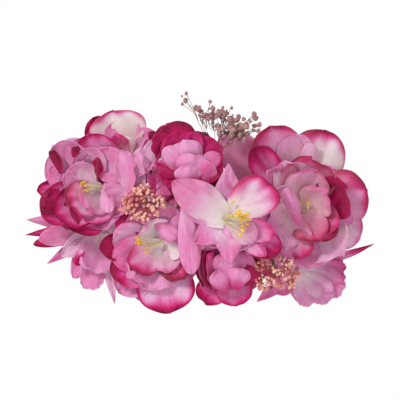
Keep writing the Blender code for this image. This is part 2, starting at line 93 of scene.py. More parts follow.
class Wiring:
    """Adds nodes to one tree and joins them.

    Args:
        tree: The shader or geometry tree to fill.
    """

    def __init__(self, tree: bpy.types.NodeTree) -> None:
        self.tree = tree

    def add(self, kind: str, inputs: dict | None = None, **settings) -> bpy.types.Node:
        """Adds one node.

        Args:
            kind: The node's type.
            inputs: Values or sockets for its inputs, by name or by number.
            settings: Its other settings.

        Returns:
            The new node.
        """
        made = self.tree.nodes.new(kind)
        for key, value in settings.items():
            setattr(made, key, value)
        for key, value in (inputs or {}).items():
            if isinstance(value, bpy.types.NodeSocket):
                self.tree.links.new(value, made.inputs[key])
            else:
                made.inputs[key].default_value = value
        return made

    def out(self, kind: str, inputs: dict | None = None, **settings) -> bpy.types.NodeSocket:
        """Adds one node and gives its first output."""
        return self.add(kind, inputs, **settings).outputs[0]

    def geo(self, kind: str, inputs: dict | None = None, **settings) -> bpy.types.NodeSocket:
        """Adds one Geometry node, named without that prefix, and gives its first output."""
        return self.out(f"GeometryNode{kind}", inputs, **settings)

    def link(self, value: bpy.types.NodeSocket, target: bpy.types.NodeSocket) -> None:
        """Joins an output to an input."""
        self.tree.links.new(value, target)

    def math(self, operation: str, *values) -> bpy.types.NodeSocket:
        """The result of a Math node on those values or sockets."""
        return self.out("ShaderNodeMath", dict(enumerate(values)), operation=operation)

    def vector(self, x=0.0, y=0.0, z=0.0) -> bpy.types.NodeSocket:
        """A vector from its parts."""
        return self.out("ShaderNodeCombineXYZ", {0: x, 1: y, 2: z})

    def scaled(self, vector, factor) -> bpy.types.NodeSocket:
        """A vector times a number."""
        return self.out("ShaderNodeVectorMath", {0: vector, "Scale": factor}, operation="SCALE")

    def random(self, low, high, seed) -> bpy.types.NodeSocket:
        """A random value for each point, between two numbers or two vectors."""
        kind, first, result = ("FLOAT_VECTOR", 0, 0) if isinstance(low, tuple) else ("FLOAT", 2, 1)
        inputs = {first: low, first + 1: high, "Seed": seed}
        return self.add("FunctionNodeRandomValue", inputs, data_type=kind).outputs[result]

    def span(self, value, low: float, high: float, to_low: float = 0.0, to_high: float = 1.0):
        """A value moved smoothly from one range to another, and kept inside it."""
        inputs = {"Value": value, "From Min": low, "From Max": high, "To Min": to_low, "To Max": to_high}
        return self.out("ShaderNodeMapRange", inputs, interpolation_type="SMOOTHSTEP")

    def mix(self, factor, first, second, blend: str = "MIX") -> bpy.types.NodeSocket:
        """Two colours mixed by factor."""
        made = self.add("ShaderNodeMix", {0: factor, 6: first, 7: second}, data_type="RGBA", blend_type=blend)
        return made.outputs[2]

    def ramp(self, value, stops: list[tuple[float, tuple]]) -> bpy.types.NodeSocket:
        """The colour at value on a ramp with those stops."""
        made = self.add("ShaderNodeValToRGB", {0: value})
        points = made.color_ramp.elements
        while len(points) < len(stops):
            points.new(1.0)
        for point, (where, colour) in zip(points, stops):
            point.position = where
            point.color = colour
        return made.outputs[0]

    def noise(self, vector, scale: float, detail: float = 2.0, rough: float = 0.5):
        """A noise value at vector."""
        inputs = {"Vector": vector, "Scale": scale, "Detail": detail, "Roughness": rough}
        return self.out("ShaderNodeTexNoise", inputs)

    def stretch(self, vector, x: float, y: float, z: float) -> bpy.types.NodeSocket:
        """The vector with each part scaled."""
        return self.out("ShaderNodeMapping", {"Vector": vector, "Scale": (x, y, z)})

    def bump(self, height, distance: float, strength: float = 1.0, under=None) -> bpy.types.NodeSocket:
        """A normal from a height, over another normal if one is given."""
        inputs = {"Height": height, "Distance": distance, "Strength": strength}
        if under is not None:
            inputs["Normal"] = under
        return self.out("ShaderNodeBump", inputs)

    def here(self) -> bpy.types.NodeSocket:
        """The place in the object's own frame."""
        return self.add("ShaderNodeTexCoord").outputs["Object"]


def shader(name: str, roughness: float, metallic: float = 0.0, **fixed) -> tuple[bpy.types.Material, Wiring, dict]:
    """A new material with its Principled shader.

    Args:
        name: The material's name.
        roughness: The shader's roughness.
        metallic: The shader's metallic value.
        fixed: Other inputs, with underscores for spaces.

    Returns:
        The material, its wiring and the shader's inputs.
    """
    made = bpy.data.materials.new(name)
    made.use_nodes = True
    inputs = made.node_tree.nodes["Principled BSDF"].inputs
    inputs["Roughness"].default_value = roughness
    inputs["Metallic"].default_value = metallic
    for key, value in fixed.items():
        inputs[key.replace("_", " ")].default_value = value
    return made, Wiring(made.node_tree), inputs


# ---- finishes --------------------------------------------------------------------------------


@dataclass(frozen=True)
class PetalCloth:
    """Dyed polyester petal cloth: one ramp from white through pink and magenta to crimson.

    Each petal carries its own place on the ramp in its dye and shade attribute, and a beige painted shade for the deep
    places at its foot.
    """

    name: str = "petal_cloth"
    thread: float = 0.35  # mm between two threads
    vein: float = 1.6  # mm between two pressed veins

    def material(self) -> bpy.types.Material:
        """Makes the material."""
        made, wire, inputs = shader(
            self.name, 0.62, Subsurface_Weight=0.12, Subsurface_Scale=0.003, Sheen_Weight=0.25,
            Sheen_Roughness=0.45, Specular_IOR_Level=0.25,
        )
        inputs["Subsurface Radius"].default_value = (1.0, 0.35, 0.5)
        # Reads each point's dye tone and its beige painted shade.
        dye = wire.add("ShaderNodeAttribute", attribute_name="dye")
        parts = wire.add("ShaderNodeSeparateColor", {0: dye.outputs["Color"]})
        cloth = wire.out("ShaderNodeUVMap", uv_map="cloth")
        streaks = wire.noise(wire.stretch(cloth, 900, 60, 1), 1.0, 3.0, 0.6)
        clouds = wire.noise(cloth, 130, 3.0, 0.55)
        spread = wire.math("ADD", wire.math("MULTIPLY", streaks, 0.26), wire.math("MULTIPLY", clouds, 0.20))
        tone = wire.math("ADD", parts.outputs[0], wire.math("SUBTRACT", spread, 0.23))
        colour = wire.ramp(tone, [
            (0.00, linear(250, 246, 244)),
            (0.14, linear(244, 218, 232)),
            (0.34, linear(234, 164, 206)),
            (0.50, linear(226, 108, 166)),
            (0.68, linear(212, 40, 124)),
            (0.84, linear(176, 0, 82)),
            (1.00, linear(96, 0, 34)),
        ])
        # Beige painted shade at each petal's foot, from the attribute's second channel.
        painted_foot_shade = wire.mix(wire.math("MULTIPLY", parts.outputs[1], 0.75), colour, linear(206, 176, 150))
        wire.link(painted_foot_shade, inputs["Base Color"])
        across = wire.stretch(cloth, tau / (self.vein * MM) / 8, 18, 1)
        veins = wire.noise(across, 1.0, 2.0, 0.5)
        pleats = wire.bump(veins, 0.0006, 0.55)
        pitch = tau / (self.thread * MM) / 20
        warp = wire.add("ShaderNodeTexWave", {"Vector": cloth, "Scale": pitch}, bands_direction="X").outputs[1]
        weft = wire.add("ShaderNodeTexWave", {"Vector": cloth, "Scale": pitch}, bands_direction="Y").outputs[1]
        weave = wire.bump(wire.math("MULTIPLY", warp, weft), 0.00006, 0.5, pleats)
        wire.link(weave, inputs["Normal"])
        return made


@dataclass(frozen=True)
class Grained:
    """A dry, matt material of two colours, mottled and rough at a set scale."""

    name: str
    light: tuple
    dark: tuple
    grain: float  # mm across one fleck
    roughness: float = 0.8
    depth: float = 0.1  # mm of relief
    sheen: float = 0.0
    soft: float = 0.0  # share of light that goes through

    def material(self) -> bpy.types.Material:
        """Makes the material."""
        made, wire, inputs = shader(
            self.name, self.roughness, Sheen_Weight=self.sheen, Subsurface_Weight=self.soft,
            Subsurface_Scale=0.001, Specular_IOR_Level=0.3,
        )
        where = wire.here()
        flecks = wire.noise(where, 1 / (self.grain * MM), 4.0, 0.6)
        patches = wire.noise(where, 0.12 / (self.grain * MM), 2.0, 0.5)
        blend = wire.span(wire.math("ADD", flecks, patches), 0.7, 1.3)
        wire.link(wire.mix(blend, self.dark, self.light), inputs["Base Color"])
        wire.link(wire.bump(flecks, self.depth * MM, 0.8), inputs["Normal"])
        return made


@dataclass(frozen=True)
class WovenStrip:
    """Open, stiffened buckram: two sets of flat threads with small gaps between them."""

    name: str = "buckram_weave"
    pitch: float = 1.1  # mm
    radius: float = 87.0  # mm, of the strip's bend

    def material(self) -> bpy.types.Material:
        """Makes the material."""
        made, wire, inputs = shader(self.name, 0.75, Sheen_Weight=0.15)
        where = wire.here()
        parts = wire.add("ShaderNodeSeparateXYZ", {0: where})
        turn = wire.math("ARCTAN2", parts.outputs[0], wire.math("SUBTRACT", HEAD_RADIUS, parts.outputs[1]))
        along = wire.math("MULTIPLY", turn, self.radius * MM * tau / (self.pitch * MM))
        up = wire.math("MULTIPLY", parts.outputs[2], tau / (self.pitch * MM))
        warp = wire.math("ABSOLUTE", wire.math("SINE", wire.math("MULTIPLY", along, 0.5)))
        weft = wire.math("ABSOLUTE", wire.math("SINE", wire.math("MULTIPLY", up, 0.5)))
        thread = wire.math("MAXIMUM", warp, weft)
        hole = wire.span(thread, 0.35, 0.6)
        wear = wire.noise(where, 220, 3.0)
        light = wire.mix(wear, linear(236, 228, 210), linear(214, 203, 182))
        wire.link(wire.mix(hole, linear(120, 104, 84), light), inputs["Base Color"])
        wire.link(wire.bump(thread, 0.0002, 0.9), inputs["Normal"])
        return made


@dataclass(frozen=True)
class PlatedSteel:
    """Nickel-plated sheet or wire, brushed along Z, a little worn."""

    name: str
    roughness: float = 0.28

    def material(self) -> bpy.types.Material:
        """Makes the material."""
        made, wire, inputs = shader(self.name, self.roughness, 1.0)
        where = wire.here()
        brushed = wire.noise(wire.stretch(where, 4000, 4000, 150), 1.0, 2.0)
        wear = wire.noise(where, 260, 3.0)
        colour = wire.mix(wire.span(wear, 0.3, 0.8), linear(208, 207, 205), linear(196, 194, 190))
        wire.link(colour, inputs["Base Color"])
        rough = wire.math("ADD", wire.math("MULTIPLY", brushed, 0.10), self.roughness - 0.04)
        wire.link(rough, inputs["Roughness"])
        wire.link(wire.bump(brushed, 0.000008, 0.3), inputs["Normal"])
        return made


def grained(name: str, light: tuple, dark: tuple, *values: float) -> Field:
    """A palette's field for a grained finish, from its colours and the rest of its values."""
    return field(default_factory=lambda: Grained(name, linear(*light), linear(*dark), *values).material())


@dataclass(frozen=True)
class Palette:
    """Every finish on the crown, each made once."""

    petal: bpy.types.Material = field(default_factory=lambda: PetalCloth().material())
    sepal: bpy.types.Material = grained("moulded_calyx", (122, 138, 84), (74, 92, 50), 1.4, 0.55, 0.08, 0.1, 0.05)
    tape: bpy.types.Material = grained("crepe_floral_tape", (128, 146, 96), (96, 114, 68), 0.5, 0.85, 0.14, 0.2)
    filament: bpy.types.Material = grained("stamen_thread", (240, 232, 190), (206, 206, 150), 0.8, 0.5, 0.03, 0.1, 0.1)
    anther: bpy.types.Material = grained("anther_wax", (255, 228, 92), (232, 184, 30), 0.5, 0.45, 0.1, 0.1, 0.1)
    bud: bpy.types.Material = grained("rice_flower_bud", (255, 216, 196), (226, 136, 128), 1.6, 0.8, 0.12, 0.3, 0.15)
    stalk: bpy.types.Material = grained("rice_flower_stalk", (226, 128, 120), (176, 62, 84), 1.0, 0.8, 0.05)
    floret: bpy.types.Material = grained("dried_floret", (204, 164, 158), (150, 104, 104), 0.9, 0.9, 0.25, 0.3, 0.1)
    twig: bpy.types.Material = grained("dried_twig", (176, 150, 138), (128, 100, 92), 0.7, 0.85, 0.05)
    felt: bpy.types.Material = grained("wool_felt", (214, 104, 152), (178, 70, 120), 0.45, 0.95, 0.3, 0.6)
    thread: bpy.types.Material = grained("sewing_thread", (240, 196, 214), (214, 150, 178), 0.3, 0.6, 0.05, 0.3)
    buckram: bpy.types.Material = field(default_factory=lambda: WovenStrip().material())
    steel: bpy.types.Material = field(default_factory=lambda: PlatedSteel("clip_nickel").material())
    wire: bpy.types.Material = field(default_factory=lambda: PlatedSteel("spring_wire", 0.22).material())


# ---- meshes ----------------------------------------------------------------------------------


def put(name: str, data: bpy.types.ID) -> bpy.types.Object:
    """A new object at the origin with that data, in the scene."""
    made = bpy.data.objects.new(name, data)
    bpy.context.scene.collection.objects.link(made)
    return made


def coat(mesh: bpy.types.Mesh, material: bpy.types.Material) -> None:
    """Gives a mesh that one material."""
    mesh.materials.clear()
    mesh.materials.append(material)


def show(name: str, mesh: bpy.types.Mesh, material: bpy.types.Material | None = None) -> bpy.types.Object:
    """A new object with that mesh and material, in the scene."""
    if material is not None:
        coat(mesh, material)
    return put(name, mesh)


def cast(name: str, shape: bmesh.types.BMesh) -> bpy.types.Mesh:
    """Ends a shape in the making as a mesh of that name."""
    mesh = bpy.data.meshes.new(name)
    shape.to_mesh(mesh)
    shape.free()
    return mesh


def facing_along(aim) -> Matrix:
    """The turn that takes +Z to a direction."""
    return Vector(aim).to_track_quat("Z", "Y").to_matrix().to_4x4()


def settle(piece: bpy.types.Object, body: str, slot: str, *nodes: str) -> None:
    """Puts a finished piece on its body, over the nodes that it stands for."""
    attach(piece, body)
    if nodes:
        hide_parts(*nodes)
    LOG.info("%s: %d faces", piece.name, len(piece.data.polygons))


def applied(piece: bpy.types.Object) -> bpy.types.Object:
    """Replaces a piece's mesh by what its modifiers make, and removes them."""
    bpy.context.view_layer.update()
    graph = bpy.context.evaluated_depsgraph_get()
    mesh = bpy.data.meshes.new_from_object(piece.evaluated_get(graph))
    piece.modifiers.clear()
    if piece.type != "MESH":
        name = piece.name
        bpy.data.objects.remove(piece, do_unlink=True)
        return show(name, mesh)
    piece.data = mesh
    return piece


# ---- petals ----------------------------------------------------------------------------------


class Outline(Enum):
    """How a petal is cut: its foot's width, where it is widest, how its end closes, and its notch and teeth.

    The foot's width is a share of the widest, and the end closes as (1 - t ** bulge) ** blunt.
    """

    ROUND = (0.20, 0.60, 2.3, 0.50, 0.0, 0.0)
    BROAD = (0.34, 0.66, 2.6, 0.46, 0.015, 0.0)
    SAIL = (0.55, 0.50, 1.7, 0.72, 0.0, 0.0)
    HEART = (0.24, 0.64, 2.8, 0.44, 0.06, 0.0)
    SPOON = (0.22, 0.56, 1.7, 0.62, 0.0, 0.0)
    POINTED = (0.34, 0.42, 1.25, 0.92, 0.0, 0.0)
    TORN = (0.30, 0.66, 2.4, 0.50, 0.04, 0.13)

    def rows(self, count: int) -> np.ndarray:
        """Shares of the length for the rows, closer together near the end."""
        widest = self.value[1]
        low = count * 2 // 5
        start = np.linspace(0, widest, low, endpoint=False)
        return np.concatenate([start, widest + (1 - widest) * np.sin(np.linspace(0, 1, count - low + 1) * pi / 2)])

    def half_width(self, share: np.ndarray) -> np.ndarray:
        """The half width at each share of the length, as a share of the widest."""
        foot, widest, bulge, blunt, _, teeth = self.value
        opening = foot + (1 - foot) * np.sin(np.clip(share / widest, 0, 1) * pi / 2) ** 1.25
        past = np.clip((share - widest) / (1 - widest), 0, 1)
        closing = (1 - past**bulge) ** blunt
        if teeth:
            arc = np.arcsin(past) * 2.9
            closing = closing * (1 - teeth * 2 * np.abs(arc % 1 - 0.5))
        return np.where(share < widest, opening, np.maximum(closing, 0.015))


@dataclass(frozen=True)
class Dye:
    """A petal's places on the dye ramp, from 0 for white to 1 for crimson."""

    foot: float
    body: float
    rim: float
    edge: float = 4.0  # mm, the coloured rim's width
    painted_foot_shade: float = 0.0  # how much beige painted shade its foot gets
    lean: float = 0.0  # degrees clockwise from the tip to where the rim is widest


def smooth(low: float, high: float, value: np.ndarray) -> np.ndarray:
    """Goes smoothly from 0 at low to 1 at high."""
    t = np.clip((value - low) / (high - low), 0, 1)
    return t * t * (3 - 2 * t)


MIDLINE_STEPS = 121


@dataclass(frozen=True)
class Petal:
    """One petal, in millimetres.

    Its tip is right and up of the crown's middle and out from its flower's heart, and its foot is from the
    heart. A positive hollow and cup make the face that the viewer sees concave, lengthwise and crosswise.
    Face turns the petal about its own length. Sway bends it sideways in its own plane.
    """

    right: float
    up: float
    out: float
    width: float
    dye: Dye
    hollow: float = 18.0
    cup: float = 30.0
    face: float = 0.0
    outline: Outline = Outline.ROUND
    foot: tuple[float, float, float] = (0.0, 0.0, 0.0)
    ruffle: float = 1.0
    roll: float = 1.5
    sway: float = 0.0

    def axes(self, heart: np.ndarray, facing: np.ndarray) -> tuple:
        """The petal's foot, length, and its directions along, out of its face, and across."""
        foot = heart + place(*self.foot)
        tip = np.array((self.right * MM, heart[1] - self.out * MM, self.up * MM))
        length = float(np.linalg.norm(tip - foot))
        ahead = (tip - foot) / length
        normal = facing - ahead * float(facing @ ahead)
        normal /= np.linalg.norm(normal)
        normal = np.array(Matrix.Rotation(radians(self.face), 3, Vector(ahead)) @ Vector(normal))
        return foot, length, ahead, normal, np.cross(ahead, normal)

    def midline(self, length: float) -> tuple:
        """The middle line's shares, its places along and out of the face, and its slopes."""
        steps = np.linspace(0, 1, MIDLINE_STEPS)
        slope = radians(self.hollow) * (2 * steps - 1)
        along, lift = np.cumsum(np.cos(slope)) / MIDLINE_STEPS, np.cumsum(np.sin(slope)) / MIDLINE_STEPS
        reach = float(np.hypot(along[-1], lift[-1]))
        slope = slope - np.arctan2(lift[-1], along[-1])
        scale = length / reach / MIDLINE_STEPS
        return steps, np.cumsum(np.cos(slope)) * scale, np.cumsum(np.sin(slope)) * scale, slope

    def surface(self, heart: np.ndarray, facing: np.ndarray, rows: int, columns: int, seed: int) -> tuple:
        """Shapes the petal.

        Args:
            heart: The flower's heart.
            facing: The direction that the petal's face looks in, as far as its length allows.
            rows: Faces along its length.
            columns: Faces across it.
            seed: What its small folds follow.

        Returns:
            The points by row and column, their places on the flat cloth, their dye, and their beige painted shade.
        """
        chance = np.random.default_rng(seed)
        foot, length, ahead, normal, side = self.axes(heart, facing)
        steps, line_x, line_z, slope = self.midline(length)
        s = self.outline.rows(rows)[:, None] * np.ones(columns + 1)
        v = np.ones(rows + 1)[:, None] * np.sin(np.linspace(-1, 1, columns + 1) * pi / 2.6) / sin(pi / 2.6)
        half = self.outline.half_width(s) * self.width * MM / 2
        flat_x = v * half
        notch = self.outline.value[4] * (1 + 0.6 * chance.normal())
        dent = np.exp(-((flat_x / (self.width * MM * 0.13)) ** 2))
        flat_y = s * length * (1 - notch * dent * smooth(0.55, 1, s))
        rim = np.stack([flat_x[:, (0, -1)], flat_y[:, (0, -1)]], axis=-1)[rows // 5:].reshape(-1, 1, 1, 2)
        gap = np.sqrt(((np.stack([flat_x, flat_y], axis=-1) - rim) ** 2).sum(-1)).min(0) / MM

        turn = np.arctan2(flat_x * 2 / (self.width * MM), (flat_y / length - 0.35) / 0.65)
        near = np.exp(-gap / (0.16 * self.width)) * smooth(0.1, 0.6, s)
        waves = np.sin(turn * chance.uniform(3.5, 5.5) + chance.uniform(0, tau))
        waves = waves + 0.55 * np.sin(turn * chance.uniform(8, 12) + chance.uniform(0, tau))
        crease = np.sin(v * chance.uniform(1.6, 2.6) + s * chance.uniform(2, 5) + chance.uniform(0, tau))
        crease = crease + 0.5 * np.sin(v * chance.uniform(4, 6) - s * chance.uniform(2, 4) + chance.uniform(0, tau))
        pleat = np.sin(v * chance.uniform(9, 12) + s * chance.uniform(0, 2) + chance.uniform(0, tau))
        pleat = pleat * smooth(0.3, 1, s)
        fold = self.width * (0.042 * crease + 0.010 * pleat) * smooth(0, 0.35, s)
        bend = self.width * MM / 2 / radians(self.cup) * (0.75 + 0.35 * s)
        sway = (self.sway + 1.2 * chance.normal()) * MM * s**2
        across = bend * np.sin(flat_x / bend) + sway
        lift = bend * (1 - np.cos(flat_x / bend))
        lift = lift + (fold - self.roll * np.exp(-gap / 2.6) + 0.9 * self.ruffle * waves * near) * MM

        share = flat_y / length
        x, z = np.interp(share, steps, line_x), np.interp(share, steps, line_z)
        local = np.interp(share, steps, slope)[..., None]
        up = -np.sin(local) * ahead + np.cos(local) * normal
        points = foot + x[..., None] * ahead + z[..., None] * normal
        points = points + across[..., None] * side + lift[..., None] * up

        bleed = 1 + 0.3 * np.sin(turn * chance.uniform(2, 4) + chance.uniform(0, tau))
        bleed = bleed + 0.25 * np.sin(turn * chance.uniform(7, 11) + chance.uniform(0, tau))
        tipward = (0.5 + 0.5 * np.cos(turn - radians(self.dye.lean) - 0.35 * chance.normal())) ** 2.6
        body = self.dye.foot + (self.dye.body - self.dye.foot) * smooth(0.08, 0.72, s)
        reach = self.dye.edge * bleed * (0.05 + 0.95 * tipward)
        edge = np.exp(-((gap / np.maximum(reach, 0.2)) ** 1.4)) * (0.2 + 0.8 * smooth(0, 0.45, tipward))
        # Paler along the cut edges: partly the cut cloth's own paler edge, partly a painted highlight where the edge
        # catches light.
        tone = body + (self.dye.rim - body) * edge - 0.10 * np.exp(-((gap / 0.6) ** 2)) * smooth(0.2, 0.5, s)
        # Beige painted shade, strongest at the foot and fading out towards the tip.
        painted_foot_shade = self.dye.painted_foot_shade * np.clip(1.2 - s * 1.15, 0, 1)
        return points, flat_x, flat_y, tone, painted_foot_shade


@dataclass
class PetalStack:
    """Gathers petals into one mesh with its cloth's grain, its dye and its painted shade.

    Args:
        name: The piece's name.
        rows: Faces along each petal.
        columns: Faces across each petal.
    """

    name: str
    rows: int = 30
    columns: int = 24
    points: list = field(default_factory=list)
    faces: list = field(default_factory=list)
    grain: list = field(default_factory=list)
    dyes_and_shades: list = field(default_factory=list)

    def lay(self, petal: Petal, heart: np.ndarray, facing: np.ndarray) -> None:
        """Adds one petal."""
        seed = 1000 + len(self.points) * 37 + sum(map(ord, self.name))
        points, flat_x, flat_y, tone, painted_foot_shade = petal.surface(heart, facing, self.rows, self.columns, seed)
        start = len(self.points) * (self.rows + 1) * (self.columns + 1)
        self.points.append(points.reshape(-1, 3))
        index = np.arange(tone.size).reshape(tone.shape) + start
        quads = np.stack([index[:-1, :-1], index[:-1, 1:], index[1:, 1:], index[1:, :-1]], axis=-1)
        self.faces.append(quads.reshape(-1, 4))
        offset = (seed * 0.0137) % 0.5
        self.grain.append(np.stack([flat_x + offset, flat_y + offset], axis=-1).reshape(-1, 2))
        # Dye tone, then the beige painted shade at the foot.
        self.dyes_and_shades.append(np.stack([tone, painted_foot_shade, flat_y / flat_y.max(), np.ones_like(tone)], axis=-1).reshape(-1, 4))

    def mesh(self) -> bpy.types.Mesh:
        """All the petals as one mesh."""
        made = bpy.data.meshes.new(self.name)
        points = np.concatenate(self.points)
        faces = np.concatenate(self.faces)
        made.from_pydata(points.tolist(), [], faces.tolist())
        corners = faces.reshape(-1)
        grain = made.uv_layers.new(name="cloth")
        grain.data.foreach_set("uv", np.concatenate(self.grain)[corners].astype(np.float32).ravel())
        # Holds the dye tone and the painted foot shade for each point.
        dye = made.color_attributes.new("dye", "FLOAT_COLOR", "POINT")
        dye.data.foreach_set("color", np.clip(np.concatenate(self.dyes_and_shades), 0, 1).astype(np.float32).ravel())
        made.shade_smooth()
        return made


def walled(piece: bpy.types.Object, thickness: float) -> None:
    """Gives an open sheet its thickness in millimetres."""
    wall = piece.modifiers.new("wall", "SOLIDIFY")
    wall.thickness = thickness * MM
    wall.offset = 0


VIEWER = np.array((0.0, -1.0, 0.0))


def spokes(axis: np.ndarray, count: int, start: float = 0.0) -> list[np.ndarray]:
    """Even directions round an axis, square to it, from start in degrees."""
    across = np.cross(axis, (0.0, 0.0, 1.0))
    across /= np.linalg.norm(across)
    upward = np.cross(across, axis)
    turns = [radians(start) + tau * i / count for i in range(count)]
    return [across * cos(turn) + upward * sin(turn) for turn in turns]


def petal_between(heart: np.ndarray, foot: np.ndarray, tip: np.ndarray, width: float, dye: Dye, **more) -> Petal:
    """A petal from foot to tip, both in millimetres from the flower's heart."""
    spots = (heart[0] / MM + tip[0], heart[2] / MM + tip[2], -tip[1])
    return Petal(*spots, width, dye, foot=(foot[0], foot[2], -foot[1]), **more)


@dataclass(frozen=True)
class Ring:
    """A ring of like petals round the flower's axis, behind the ones that are listed one by one."""

    count: int
    length: float
    opening: float  # degrees from the axis
    width: float
    dye: Dye
    outline: Outline = Outline.ROUND
    start: float = 0.0  # degrees
    back: float = 0.0  # mm behind the heart

    def petals(self, heart: np.ndarray, axis: np.ndarray) -> list[Petal]:
        """The ring's petals for a flower at heart that opens along axis."""
        made = []
        opening = radians(self.opening)
        for i, away in enumerate(spokes(axis, self.count, self.start)):
            length = self.length * (1 + 0.05 * sin(i * 2.4))
            tip = (away * sin(opening) + axis * cos(opening)) * length - axis * self.back
            foot = away * 2.0 - axis * self.back
            made.append(petal_between(
                heart, foot, tip, self.width, self.dye, hollow=14, cup=26, outline=self.outline,
            ))
        return made


@dataclass(frozen=True)
class Blossom:
    """A flower: its heart, the way it opens, and its petals for each cut layer."""

    name: str
    heart: tuple[float, float, float]
    turn: float  # degrees to the right that it opens
    lift: float  # degrees up that it opens
    layers: dict[str, list[Petal]]
    ring: Ring | None = None

    @property
    def axis(self) -> np.ndarray:
        """The direction that the flower opens in."""
        turn, lift = radians(self.turn), radians(self.lift)
        return np.array((sin(turn) * cos(lift), -cos(turn) * cos(lift), sin(lift)))

    def build(self, palette: Palette) -> None:
        """Makes one piece for each layer."""
        heart = place(*self.heart)
        for i, (layer, petals) in enumerate(self.layers.items()):
            node = f"{self.name}_{layer}"
            stack = PetalStack(f"{node}_cloth")
            if self.ring and i == 0:
                for petal in self.ring.petals(heart, self.axis):
                    stack.lay(petal, heart, self.axis)
            for petal in petals:
                stack.lay(petal, heart, VIEWER)
            piece = show(stack.name, stack.mesh(), palette.petal)
            walled(piece, PETAL_SHEET)
            settle(piece, "crown", petal_slot(node), node)


def petal_slot(node: str) -> str:
    """The record's material slot of a CAD node."""
    return next(part["material_slot"] for part in frame["record"]["subparts"] if part["node"] == node)


# Dyes that several flowers share.
MAUVE = Dye(0.16, 0.42, 0.46)
PINK = Dye(0.24, 0.52, 0.6)
BRIGHT = Dye(0.4, 0.62, 0.82, 8)
MAGENTA = Dye(0.62, 0.76, 0.84, 8)

LEFT_PEONY = Blossom("left_peony", (-78, 14, 6), -30, 4, {
    "outer_petals": [
        Petal(-104, 51, -6, 38, Dye(0.15, 0.34, 0.4, 2), cup=-10),
        Petal(-121, 42, -3, 48, Dye(0.12, 0.34, 0.42, 2), cup=-12, ruffle=1.4),
        Petal(-67, 43, 0, 28, Dye(0.3, 0.5, 0.62, 3)),
        Petal(-87, 56, 7, 40, Dye(0.46, 0.4, 0.9, 4, lean=-20), hollow=34, cup=34, roll=3),
        Petal(-131, 10, 3, 21, Dye(0.3, 0.42, 0.94, 6, lean=-30), cup=46),
        Petal(-128, -7, 5, 38, Dye(0.25, 0.46, 0.96, 8), cup=42),
        Petal(-106, -20, 7, 46, Dye(0.4, 0.56, 0.98, 10, lean=10), cup=30),
        Petal(-80, -16, 7, 42, Dye(0.3, 0.44, 0.86, 4, lean=30), cup=36),
        Petal(-66, -4, 9, 24, Dye(0.3, 0.52, 0.7, 4)),
    ],
    "middle_petals": [
        Petal(-119, 46, 13, 30, Dye(0.14, 0.38, 0.44, 2), cup=24),
        Petal(-115, 44, 16, 9, Dye(0.9, 0.94, 0.96), foot=(-34, 11, 11), cup=40, outline=Outline.BROAD, sway=-2),
        Petal(-104, 47, 15, 20, Dye(0.1, 0.38, 0.44, 2), cup=30),
        Petal(-99, 46, 18, 8, Dye(0.88, 0.94, 0.96), foot=(-24, 24, 13), cup=40, outline=Outline.BROAD),
        Petal(-98, 42, 12, 32, Dye(0.1, 0.38, 0.42, 2), cup=34),
        Petal(-121, 29, 10, 30, Dye(0.2, 0.42, 0.5, 2), cup=24),
        Petal(-123, 8, 14, 22, Dye(0.2, 0.46, 0.96, 11, lean=-10), cup=30),
        Petal(-126, -4, 11, 20, Dye(0.2, 0.6, 0.96, 10), cup=36),
        Petal(-113, -10, 17, 36, Dye(0.15, 0.44, 0.96, 5, lean=25), cup=34),
        Petal(-97, -15, 13, 30, Dye(0.2, 0.48, 0.96, 6), cup=30),
        Petal(-90, -12, 15, 38, Dye(0.2, 0.4, 0.76, 2), cup=42),
    ],
    "inner_petals": [
        Petal(-90, 39, 9, 32, Dye(0.02, 0.2, 0.44, 3, 0.2), cup=44, hollow=28),
        Petal(-108, 25, 13, 32, Dye(0.03, 0.36, 0.46, 2), cup=40),
        Petal(-88, -3, 19, 34, Dye(0.06, 0.34, 0.56, 3, 0.7), cup=46),
        Petal(-104, -1, 21, 34, Dye(0.02, 0.32, 0.96, 6, 0.5, 15), cup=40, hollow=20),
        Petal(-83, 36, 18, 15, Dye(0.74, 0.86, 0.9), face=62, foot=(1, 2, 0)),
        Petal(-74, -6, 24, 13, Dye(0.4, 0.34, 0.42, 1), foot=(2, 4, 12), hollow=-18, cup=-46, sway=-2),
    ],
}, Ring(7, 36, 74, 34, MAUVE, back=2))

UPPER_LEFT_MAGNOLIA = Blossom("upper_left_magnolia", (-58, 38, 0), -16, 30, {
    "outer_petals": [
        Petal(-38, 54, 0, 18, Dye(0.3, 0.36, 0.42, 2, 0.3), cup=40),
        Petal(-71, 76, -2, 50, Dye(0.3, 0, 0.84, 3.5, 1), hollow=20, cup=30, foot=(-3, 0, 0)),
        Petal(-84, 72, -5, 26, Dye(0.44, 0.48, 0.94, 9, lean=-40), foot=(-20, -2, -3), cup=24),
    ],
    "inner_petals": [
        Petal(-64, 54, 4, 20, Dye(0.4, 0.1, 0.2, 1, 1), cup=30),
        Petal(-70, 55, 9, 18, Dye(0.5, 0.62, 0.7, 4, 0.5), cup=48, hollow=28),
    ],
}, Ring(5, 32, 68, 32, MAUVE))

